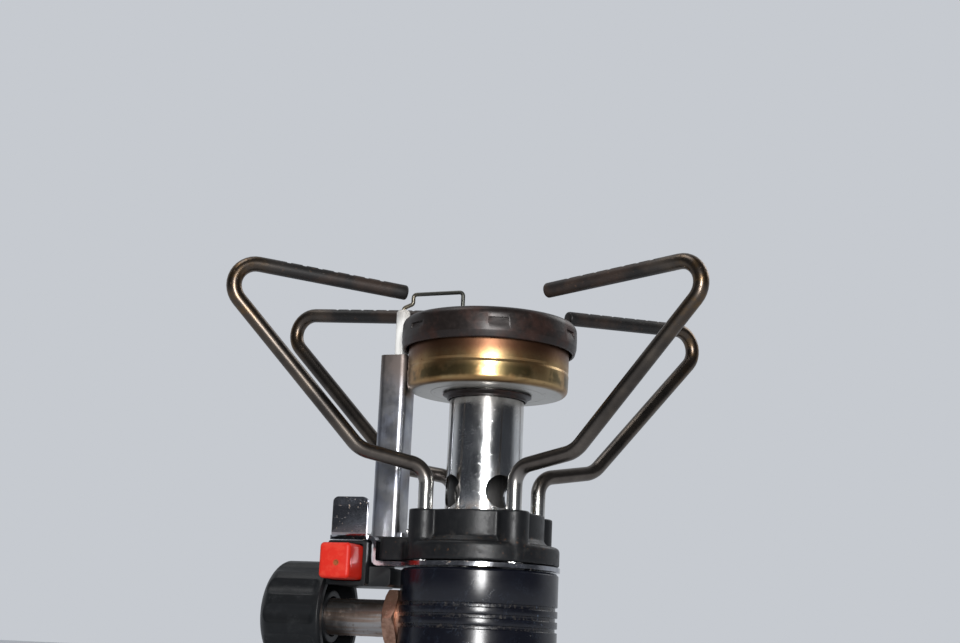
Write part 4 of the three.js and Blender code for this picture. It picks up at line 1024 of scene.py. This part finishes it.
nozzle += [(nozzle_tip, jet_high.z, 0.1), (0, jet_high.z, 0)]
carve(jet, turned("cutter", eased(nozzle, 0.2, closed=False), 64), operation="UNION")
carve(jet, rod(gas_hole_radius, jet_low.z - 1, jet_high.z + 1, sides=24))
smooth(jet)
jet.data.materials.append(brass)
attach(jet, "stove")
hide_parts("jet")

tube_wall = 0.7
air_hole_radius, air_hole_height = 3.5, 16.2
tube_inner = tube_radius - tube_wall
tube_outline = [(tube_inner, tube_low.z), (tube_radius, tube_low.z)]
tube_outline += [(tube_radius, tube_high.z), (tube_inner, tube_high.z)]
tube = turned("mixing_tube_chromed", eased(tube_outline, 0.12), 192)
air_holes = []
at_holes = Matrix.Translation((0, 0, plate_bottom + air_hole_height))
for turn in (45, 135):
    across_tube = Matrix.Rotation(math.radians(turn), 4, "Z") @ Matrix.Rotation(math.pi / 2, 4, "Y")
    air_holes.append(rod(air_hole_radius, -12, 12, at_holes @ across_tube, 96))
carve(tube, *air_holes)
soften(tube, 0.08, 2, 60)
smooth(tube, 35)

chrome, place = start_finish("polished_chrome", IOR=2.0)
x, y, z = parts(place)
haze = ramp(cloud(place, 0.22, 5.0, (1, 1, 0.45)), 0.36, 0.70)
pits = ramp(cloud(place, 1.4, 5.0), 0.60, 0.70)
marks = scratches(place, 0.9, (0.9, 0.3, 0.2), 0.00012)
low = z + 3.4 * cloud(place, 0.6, 4.0, (1, 1, 0.35)) - 1.7
foot_stain = (1 - ramp(low, crown_top + 0.2, crown_top + 3.4)) * ramp(cloud(place, 0.5, 4.0), 0.42, 0.60)
heat = ramp(z + 5.0 * cloud(place, 0.2), tube_high.z - 9.0, tube_high.z)
colour = tint(haze, (0.72, 0.73, 0.73), (0.56, 0.57, 0.58))
colour = tint(foot_stain * 0.7, colour, (0.17, 0.095, 0.050))
colour = tint(heat * 0.4, colour, (0.36, 0.28, 0.20))
colour = tint(pits * 0.25, colour, (0.30, 0.27, 0.24))
# Painted shade: the tube's bore and the inner part of the air holes' walls are tinted near black, and made
# rougher.
bore_painted_shade = 1 - ramp(far_from_axis(x, y), tube_radius - 0.45, tube_radius - 0.3)
crusty = foot_stain * cloud(place, 2.5, 4.0)
feed(
    chrome,
    Base_Color=tint(bore_painted_shade * 0.9, colour, (0.022, 0.019, 0.017)),
    Metallic=1 - 0.3 * foot_stain,
    Roughness=0.10 + 0.13 * haze + 0.08 * pits + 0.10 * foot_stain + 0.4 * bore_painted_shade + 0.1 * marks,
    Normal=relief(cloud(place, 0.35, 2.0) * 0.02 + pits * 0.006 + crusty * 0.012),
)
tube.data.materials.append(chrome)
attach(tube, "stove")
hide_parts("mixing_tube")

# ======== Burner ========
# A pressed steel cup crimped to the tube, a pierced plate with a baffle below it on one rivet, and a dish
# pressed over them. The cup is straw and gold from the heat, and the dish has a dark brown scale.
crimp_low, crimp_high = box_mm("crimp_ring")
crimp_inner = tube_radius + 0.2
crimp_outer = crimp_high.y
crimp_outline = [(crimp_inner, crimp_low.z + 0.4), (crimp_inner + 0.4, crimp_low.z + 0.4, 0.3)]
crimp_outline += [(crimp_outer - 1.0, crimp_high.z - 0.7, 0.4), (crimp_outer, crimp_high.z - 0.2, 0.1)]
crimp_outline += [(crimp_outer, crimp_high.z), (crimp_inner, crimp_high.z)]
crimp = turned("rolled_crimp_ring", eased(crimp_outline, 0.1), 128)
smooth(crimp, 50)

scale, place = start_finish("dark_oxide_scale", IOR=1.5, Specular_IOR_Level=0.45)
patches = cloud(place, 0.16, 5.0)
mottle = cloud(place, 1.1, 6.0)
red = ramp(patches, 0.46, 0.66)
colour = tint(mottle, (0.0070, 0.0052, 0.0048), (0.020, 0.0138, 0.0120))
colour = tint(red * 0.6, colour, (0.050, 0.021, 0.015))
pale = ramp(mottle, 0.60, 0.74) * ramp(patches, 0.40, 0.60)
colour = tint(pale * 0.22, colour, (0.085, 0.068, 0.060))
feed(
    scale,
    Base_Color=colour,
    Metallic=0.35 + 0.2 * red,
    Roughness=0.27 + 0.20 * mottle + 0.12 * red,
    Normal=relief(mottle * 0.018 + cloud(place, 5.0, 3.0) * 0.006),
)
crimp.data.materials.append(scale)
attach(crimp, "stove")
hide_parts("crimp_ring")

cup_low, cup_high = box_mm("burner_cup")
cup_bottom, cup_top, cup_radius = cup_low.z, cup_high.z, cup_high.x
cup_wall, cup_corner = 0.8, 1.5
cup_hole, cup_inner = tube_radius + 0.3, cup_radius - cup_wall
press_ring, bead = 12.5, cup_bottom + 4.9
cup_outline = [(cup_hole, cup_bottom), (press_ring - 0.3, cup_bottom, 0.2)]
cup_outline += [(press_ring, cup_bottom + 0.15, 0.2), (press_ring + 0.3, cup_bottom, 0.2)]
cup_outline += [(cup_radius - 0.15, cup_bottom, cup_corner), (cup_radius, bead - 0.6, 0.8)]
cup_outline += [(cup_radius - 0.14, bead, 0.5), (cup_radius - 0.05, bead + 0.6, 0.8)]
cup_outline += [(cup_radius - 0.1, cup_top, 0.1), (cup_inner, cup_top, 0.1)]
cup_outline += [(cup_inner, cup_bottom + cup_wall, cup_corner - cup_wall), (cup_hole, cup_bottom + cup_wall)]
cup = turned("pressed_cup", eased(cup_outline, 0.1, 8), 192)
smooth(cup, 60)

straw, place = start_finish("straw_tinted_steel", Metallic=1.0)
x, y, z = parts(place)
wander = cloud(place, 0.12, 4.0)
fine = cloud(place, 1.0, 3.0, (0.3, 0.3, 5.0))
spots = ramp(cloud(place, 0.9, 5.0), 0.66, 0.74)
olive = ramp(cloud(place, 0.15, 3.0), 0.43, 0.56)
height = z + 1.6 * wander - 0.8
wall_side = ramp(far_from_axis(x, y), cup_radius - 1.6, cup_radius - 0.5)
edge_brown = wall_side * (1 - ramp(height, cup_bottom + 0.2, cup_bottom + 1.0))
brown_band = ramp(height, cup_bottom + 3.9, cup_bottom + 8.2)
low_dark = 1 - ramp(height, cup_bottom + 3.0, cup_bottom + 5.0)
low_dark = low_dark * ramp(height, cup_bottom + 0.6, cup_bottom + 1.8)
flat_tone = tint(wander, (0.54, 0.53, 0.50), (0.43, 0.42, 0.39))
gold = tint(ramp(wander, 0.38, 0.62), (0.50, 0.345, 0.165), (0.39, 0.225, 0.095))
colour = tint(wall_side, flat_tone, gold)
colour = tint(low_dark * olive * wall_side * 0.8, colour, (0.085, 0.072, 0.032))
colour = tint(edge_brown * 0.7, colour, (0.13, 0.075, 0.035))
colour = tint(brown_band * 0.92, colour, (0.105, 0.046, 0.028))
colour = tint(spots * 0.5, colour, (0.07, 0.04, 0.025))
feed(
    straw,
    Base_Color=colour,
    Roughness=0.36 - 0.12 * wall_side + 0.10 * brown_band + 0.10 * wander + 0.25 * spots,
    Normal=relief(fine * 0.004 + cloud(place, 0.4) * 0.02),
)
cup.data.materials.append(straw)
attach(cup, "stove")
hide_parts("burner_cup")

cap_radius, cap_top, skirt_bottom = cap_high.x, cap_high.z, cap_low.z
cap_wall, mouth_radius, cap_corner = 0.9, 13.6, 1.5
under, cap_inner = cap_top - cap_wall, cap_radius - cap_wall
cap_outline = [(cap_inner - 0.1, skirt_bottom, 0.2), (cap_radius - 0.45, skirt_bottom, 0.4)]
cap_outline += [(cap_radius - 0.05, skirt_bottom + 1.5, 1.0), (cap_radius, skirt_bottom + 3.2, 2.0)]
cap_outline += [(cap_radius - 0.12, cap_top, cap_corner + 0.3), (mouth_radius, cap_top, 0.35)]
cap_outline += [(mouth_radius, under, 0.2), (cap_inner, under, cap_corner - cap_wall)]
cap = turned("pressed_dish", eased(cap_outline, 0.1, 8), 192)
lances = []
lance_count, first_lance, lance_half, lance_height = 6, -68, 2.1, 1.8
lance_low = skirt_bottom + 2.4
for i in range(lance_count):
    wedge = [(cap_radius + 0.02, lance_low), (cap_radius + 1, lance_low)]
    wedge += [(cap_radius + 1, lance_low + lance_height), (cap_radius - 0.55, lance_low + lance_height)]
    turn = Matrix.Rotation(math.radians(first_lance + 360 / lance_count * i), 4, "Z")
    lances.append(drawn("cutter", wedge, -lance_half, lance_half, turn @ along_y))
carve(cap, *lances)
soften(cap, 0.1, 2, 40)
smooth(cap, 50)
cap.data.materials.append(scale)
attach(cap, "stove")
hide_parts("burner_cap")

port_low, port_high = box_mm("port_plate")
plate_hole, plate_edge, port_radius = 1.2, port_high.x, 0.7
plate_outline = [(plate_hole, port_low.z), (plate_edge, port_low.z), (plate_edge, port_high.z)]
plate_outline.append((plate_hole, port_high.z))
port_plate = turned("pierced_plate", eased(plate_outline, 0.1), 144)
ports = bmesh.new()
for circle, count in ((11.2, 18), (8.2, 12), (5.2, 8)):
    for i in range(count):
        angle = 2 * math.pi * i / count
        at_port = Matrix.Translation((circle * math.cos(angle), circle * math.sin(angle), port_low.z))
        size = {"segments": 20, "radius1": port_radius, "radius2": port_radius, "depth": 4}
        bmesh.ops.create_cone(ports, cap_ends=True, matrix=at_port, **size)
carve(port_plate, object_from("cutter", ports))
smooth(port_plate, 40)

flame_side, place = start_finish("flame_side_steel", IOR=1.6)
x, y = parts(place)[:2]
mottle = cloud(place, 0.8, 6.0)
glowed = ramp(far_from_axis(x, y) + 3.0 * mottle, 9.0, 15.0)
colour = tint(mottle, (0.030, 0.025, 0.024), (0.10, 0.085, 0.078))
feed(
    flame_side,
    Base_Color=tint(glowed * 0.6, colour, (0.15, 0.075, 0.045)),
    Metallic=0.35 + 0.3 * glowed,
    Roughness=0.42 + 0.3 * mottle,
    Normal=relief(mottle * 0.03),
)
port_plate.data.materials.append(flame_side)
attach(port_plate, "stove")
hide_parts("port_plate")

rivet_low, rivet_high = box_mm("burner_rivet")
rivet_outline = [(0, rivet_low.z, 0), (2, rivet_low.z), (2, rivet_low.z + 0.7), (1, rivet_low.z + 0.7)]
rivet_outline += [(1, rivet_high.z - 0.7), (2.4, rivet_high.z - 0.7, 0.1), (2.2, rivet_high.z - 0.3, 0.3)]
rivet_outline += [(1.2, rivet_high.z, 0.6), (0, rivet_high.z, 0)]
rivet = turned("burner_plate_rivet", eased(rivet_outline, 0.1, 4, closed=False), 64)
smooth(rivet, 40)
rivet.data.materials.append(flame_side)
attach(rivet, "stove")
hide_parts("burner_rivet")
repaint("burner_baffle", flame_side)

# ======== Electrode and guard ========
# A folded channel of the same plated sheet, open to the rear, shields a glazed ceramic tube. The spark wire
# runs up the tube, bends over the burner's rim and points down at the ports. One screw holds the guard.
guard_low, guard_high = box_mm("electrode_guard")
guard_width, guard_depth = 6.4, 6
guard_left, guard_right = guard_low.x, guard_low.x + guard_width
guard_front, guard_rear = guard_low.y, guard_low.y + guard_depth
guard_line = [(guard_left + sheet / 2, guard_rear), (guard_left + sheet / 2, guard_front + sheet / 2)]
guard_line += [(guard_right - sheet / 2, guard_front + sheet / 2), (guard_right - sheet / 2, guard_rear)]
guard = drawn("folded_guard", bent_strip(guard_line), guard_low.z, guard_high.z)
foot_outline = rounded_rectangle(
    (guard_left + guard_high.x) / 2,
    (guard_front + 0.6 + guard_high.y) / 2,
    guard_high.x - guard_left,
    guard_high.y - guard_front - 0.6,
    0.5,
)
carve(guard, drawn("cutter", foot_outline, guard_low.z, guard_low.z + sheet), operation="UNION")
carve(guard, rod(small_screw_hole, guard_low.z - 1, guard_low.z + 2, at_guard_screw, 32))
soften(guard, 0.12)
smooth(guard, 30)

guard_steel, place = start_finish("smudged_guard_sheet", Metallic=1.0)
z = parts(place)[2]
smudge = cloud(place, 0.16, 4.0)
film = ramp(smudge, 0.40, 0.66)
fine = cloud(place, 3.0, 3.0, (1.0, 1.0, 0.10))
top_heat = ramp(z + 7.0 * smudge, guard_high.z - 9.0, guard_high.z + 3.0)
blue = ramp(cloud(place, 0.13, 3.0), 0.46, 0.62) * (1 - top_heat)
rust = ramp(cloud(place, 1.6, 6.0), 0.65, 0.72)
colour = tint(film, (0.40, 0.40, 0.41), (0.26, 0.265, 0.285))
colour = tint(blue * 0.4, colour, (0.24, 0.27, 0.36))
colour = tint(top_heat * 0.75, colour, (0.17, 0.125, 0.10))
colour = tint(rust * 0.5, colour, (0.24, 0.13, 0.06))
feed(
    guard_steel,
    Base_Color=colour,
    Roughness=0.25 + 0.14 * film + 0.08 * fine + 0.12 * top_heat + 0.3 * rust,
    Normal=relief(fine * 0.002 + cloud(place, 0.2) * 0.02 + rust * 0.01),
)
guard.data.materials.append(guard_steel)
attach(guard, "stove")
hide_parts("electrode_guard")

head_height = 1.2
head_seat = guard_screw_high.z - head_height
guard_screw = screw("guard_fixing_screw", 1.0, 1.9, guard_screw_low.z, head_seat, head_height, at_guard_screw)
guard_screw.data.materials.append(screw_steel)
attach(guard_screw, "stove")
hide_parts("guard_screw")

ceramic_low, ceramic_high = box_mm("ceramic_insulator")
ceramic_middle = (ceramic_low + ceramic_high) / 2
ceramic_radius = (ceramic_high.y - ceramic_low.y) / 2
electrode_radius, ceramic_bore = 0.45, 0.8
ceramic_outline = [(ceramic_bore, ceramic_low.z), (ceramic_radius, ceramic_low.z, 0.3)]
ceramic_outline += [(ceramic_radius, ceramic_high.z - 0.5, 0.4), (ceramic_radius - 0.5, ceramic_high.z, 0.3)]
ceramic_outline.append((ceramic_bore, ceramic_high.z, 0.2))
at_ceramic = Matrix.Translation((ceramic_middle.x, ceramic_middle.y, 0))
ceramic = turned("glazed_tube", eased(ceramic_outline, 0.15, 4), 64, at_ceramic)
smooth(ceramic, 60)

glaze, place = start_finish("white_glazed_ceramic", IOR=1.55, Coat_Roughness=0.08)
z = parts(place)[2]
soot = ramp(z + 4.0 * cloud(place, 0.4, 4.0), ceramic_high.z - 3.0, ceramic_high.z + 3.0)
body_tone = tint(cloud(place, 0.5), (0.80, 0.79, 0.76), (0.72, 0.71, 0.68))
feed(
    glaze,
    Base_Color=tint(soot * 0.55, body_tone, (0.36, 0.31, 0.26)),
    Roughness=0.22 + 0.3 * soot,
    Normal=relief(cloud(place, 1.2) * 0.01),
)
ceramic.data.materials.append(glaze)
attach(ceramic, "stove")
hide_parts("ceramic_insulator")

cement, place = start_finish("refractory_cement", IOR=1.4)
crumbs = cloud(place, 2.2, 6.0)
feed(
    cement,
    Base_Color=tint(crumbs, (0.30, 0.285, 0.26), (0.55, 0.53, 0.49)),
    Roughness=0.75 + 0.2 * crumbs,
    Normal=relief(crumbs * 0.15),
)
repaint("insulator_seat", cement)

electrode_high = box_mm("electrode_wire")[1]
wire_top = electrode_high.z - electrode_radius
wire_end = Vector((electrode_high.x - electrode_radius, 1.2, cap_top + 0.9))
up_x, up_y = ceramic_middle.x, ceramic_middle.y
wire_step = 2.2
electrode_corners = [(up_x, up_y, ceramic_low.z + 1), (up_x, up_y, ceramic_high.z + 0.5)]
electrode_corners += [(up_x + wire_step, up_y, ceramic_high.z + 1.4), (up_x + wire_step, up_y, wire_top)]
electrode_corners += [(wire_end.x, wire_end.y, wire_top), tuple(wire_end)]
electrode_path = bent_path([Vector(c) for c in electrode_corners], (0.7, 0.7, 0.8, 0.9), 10, 2.0)
electrode = wire("spark_wire", electrode_path, electrode_radius, 20, (0.05, 0.15))
smooth(electrode, 50)

spark_steel, place = start_finish("spark_wire_steel", Metallic=1.0)
x = parts(place)[0]
burnt = ramp(x + 3.0 * cloud(place, 0.5, 4.0), ceramic_middle.x + 1.0, ceramic_middle.x + 6.0)
mottle = cloud(place, 2.0, 5.0)
burnt_tone = tint(mottle, (0.050, 0.056, 0.052), (0.110, 0.105, 0.092))
feed(
    spark_steel,
    Base_Color=tint(burnt, (0.26, 0.225, 0.165), burnt_tone),
    Roughness=0.32 + 0.2 * mottle,
    Normal=relief(mottle * 0.012),
)
electrode.data.materials.append(spark_steel)
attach(electrode, "stove")
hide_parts("electrode_wire")

# ======== Igniter ========
# A black moulded case screwed under the shelf holds the striker, a spring and a crystal behind a red push
# button. A lid closes its rear, and a rubber-insulated lead, held all the way, carries the spark to the wire.
case_low, case_high = box_mm("piezo_housing")
lid_low, lid_high = box_mm("piezo_cover")
slide_gap = 0.2
button_z = (button_low.z + button_high.z) / 2
button_width, button_height = button_high.x - button_low.x, button_high.z - button_low.z
case_left, case_right = case_low.x, 2 * button_x - case_low.x
case_bottom, case_top = case_low.z, case_high.z
case_width, case_height = case_right - case_left, case_top - case_bottom
shoulder_end, shoulder_top = case_high.x, plate_bottom - 0.3
shoulder_back, shoulder_setback = 3, 2.4
well_floor, plunger_hole, striker_hole, striker_start = 1.6, 1.5, 2.9, 2.8
case_outline = rounded_rectangle(button_x, (case_top + case_bottom) / 2, case_width, case_height, 0.6)
case = drawn("igniter_case", case_outline, -case_high.y, -case_low.y, along_y)
shoulder_outline = rounded_rectangle(
    (case_right + shoulder_end) / 2 - 0.5,
    (shoulder_top + case_bottom) / 2,
    shoulder_end - case_right + 1,
    shoulder_top - case_bottom,
    0.9,
)
shoulder = drawn("cutter", shoulder_outline, -shoulder_back, -case_low.y - shoulder_setback, along_y)
carve(case, shoulder, operation="UNION")
soften(case, 0.25, 3, 40)
well_width, well_height = button_width + 2 * slide_gap, button_height + 2 * slide_gap
well_outline = rounded_rectangle(button_x, button_z, well_width, well_height, 0.6)
well = drawn("cutter", well_outline, -well_floor, -case_low.y + 1, along_y)
to_button = Matrix.Translation((button_x, 0, button_z)) @ Matrix.Rotation(-math.pi / 2, 4, "X")
striker_bore = rod(striker_hole, striker_start, case_high.y + 1, to_button)
carve(case, well, rod(plunger_hole, 0.5, 5, to_button), striker_bore)
carve(case, rod(1.05, case_top - 1.4, case_top + 1, at_piezo_screw, 32))
smooth(case, 35)
case.data.materials.append(black_plastic)
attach(case, "stove")
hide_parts("piezo_housing")

lid_outline = rounded_rectangle(button_x, button_z, lid_high.x - lid_low.x, lid_high.z - lid_low.z, 1.0)
lid = drawn("igniter_lid", lid_outline, -lid_high.y, -lid_low.y, along_y)
soften(lid, 0.2, 3, 40)
lead_hole = 0.6
carve(lid, rod(lead_hole, lid_low.y - 1, lid_high.y + 1, to_button, 32))
smooth(lid, 35)
lid.data.materials.append(black_plastic)
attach(lid, "stove")
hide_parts("piezo_cover")

button_outline = rounded_rectangle(button_x, button_z, button_width, button_height, 0.9, 8)
button = drawn("push_button", button_outline, -button_high.y, -button_low.y, along_y)
soften(button, 0.75, 6, 50)
dimple_x, dimple_z = button_x + 0.5, button_z - 0.5
at_dimple = Matrix.Translation((dimple_x, button_low.y, dimple_z)) @ Matrix.Rotation(math.pi / 2, 4, "X")
dimple = [(0, -0.32), (0.3, -0.28), (0.48, -0.12), (0.58, 0.15), (0, 0.15)]
carve(button, turned("cutter", dimple, 32, at_dimple))
smooth(button, 35)

red_plastic, place = start_finish("red_plastic", IOR=1.42, Specular_IOR_Level=0.35)
x, y, z = parts(place)
grime = ramp(cloud(place, 0.9, 6.0), 0.56, 0.74)
pit = (x - dimple_x) ** 2.0 + (z - dimple_z) ** 2.0
pit_dirt = (1 - ramp(pit, 0.10, 0.62)) * (1 - ramp(y, button_low.y + 0.6, button_low.y + 1.0))
worn = 1 - ramp(y, button_low.y + 0.1, button_low.y + 0.55)
edges = worn * ramp(cloud(place, 0.8, 4.0), 0.45, 0.6)
colour = tint(cloud(place, 0.3), (0.43, 0.011, 0.004), (0.51, 0.016, 0.006))
colour = tint(edges * 0.10, colour, (0.75, 0.14, 0.08))
colour = tint(grime * 0.22, colour, (0.25, 0.05, 0.02))
colour = tint(pit_dirt * 0.85, colour, (0.18, 0.075, 0.02))
feed(
    red_plastic,
    Base_Color=colour,
    Roughness=0.40 + 0.14 * cloud(place, 1.0) + 0.3 * pit_dirt,
    Normal=relief(cloud(place, 5.0, 3.0) * 0.004 + cloud(place, 0.6) * 0.02),
)
button.data.materials.append(red_plastic)
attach(button, "button")
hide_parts("piezo_button")
for node in ("piezo_plunger", "striker_spring"):
    repaint(node, screw_steel)
repaint("piezo_crystal", cement)

head_height = 1.1
head_seat = piezo_screw_high.z - head_height
case_screw = screw("case_fixing_screw", 0.9, 1.7, piezo_screw_low.z, head_seat, head_height, at_piezo_screw)
case_screw.data.materials.append(screw_steel)
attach(case_screw, "stove")
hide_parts("piezo_screw")

lead_radius, lead_gap = 0.9, 0.3
lead_rear = box_mm("ignition_lead")[1].y - lead_radius
lead_over = guard_low.z + sheet + 2.6
lead_corners = [(button_x, lid_high.y + lead_gap, button_z), (button_x, lead_rear, button_z)]
lead_corners += [(button_x, lead_rear, lead_over), (up_x, up_y, lead_over)]
lead_corners.append((up_x, up_y, ceramic_low.z - lead_gap))
lead_path = bent_path([Vector(c) for c in lead_corners], (1.5, 1.8, 1.6), 10, 1.5)
lead = wire("spark_lead", lead_path, lead_radius, 24, (0.1, 0.1))
smooth(lead, 50)
lead.data.materials.append(rubber)
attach(lead, "stove")
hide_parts("ignition_lead")

bpy.context.view_layer.update()
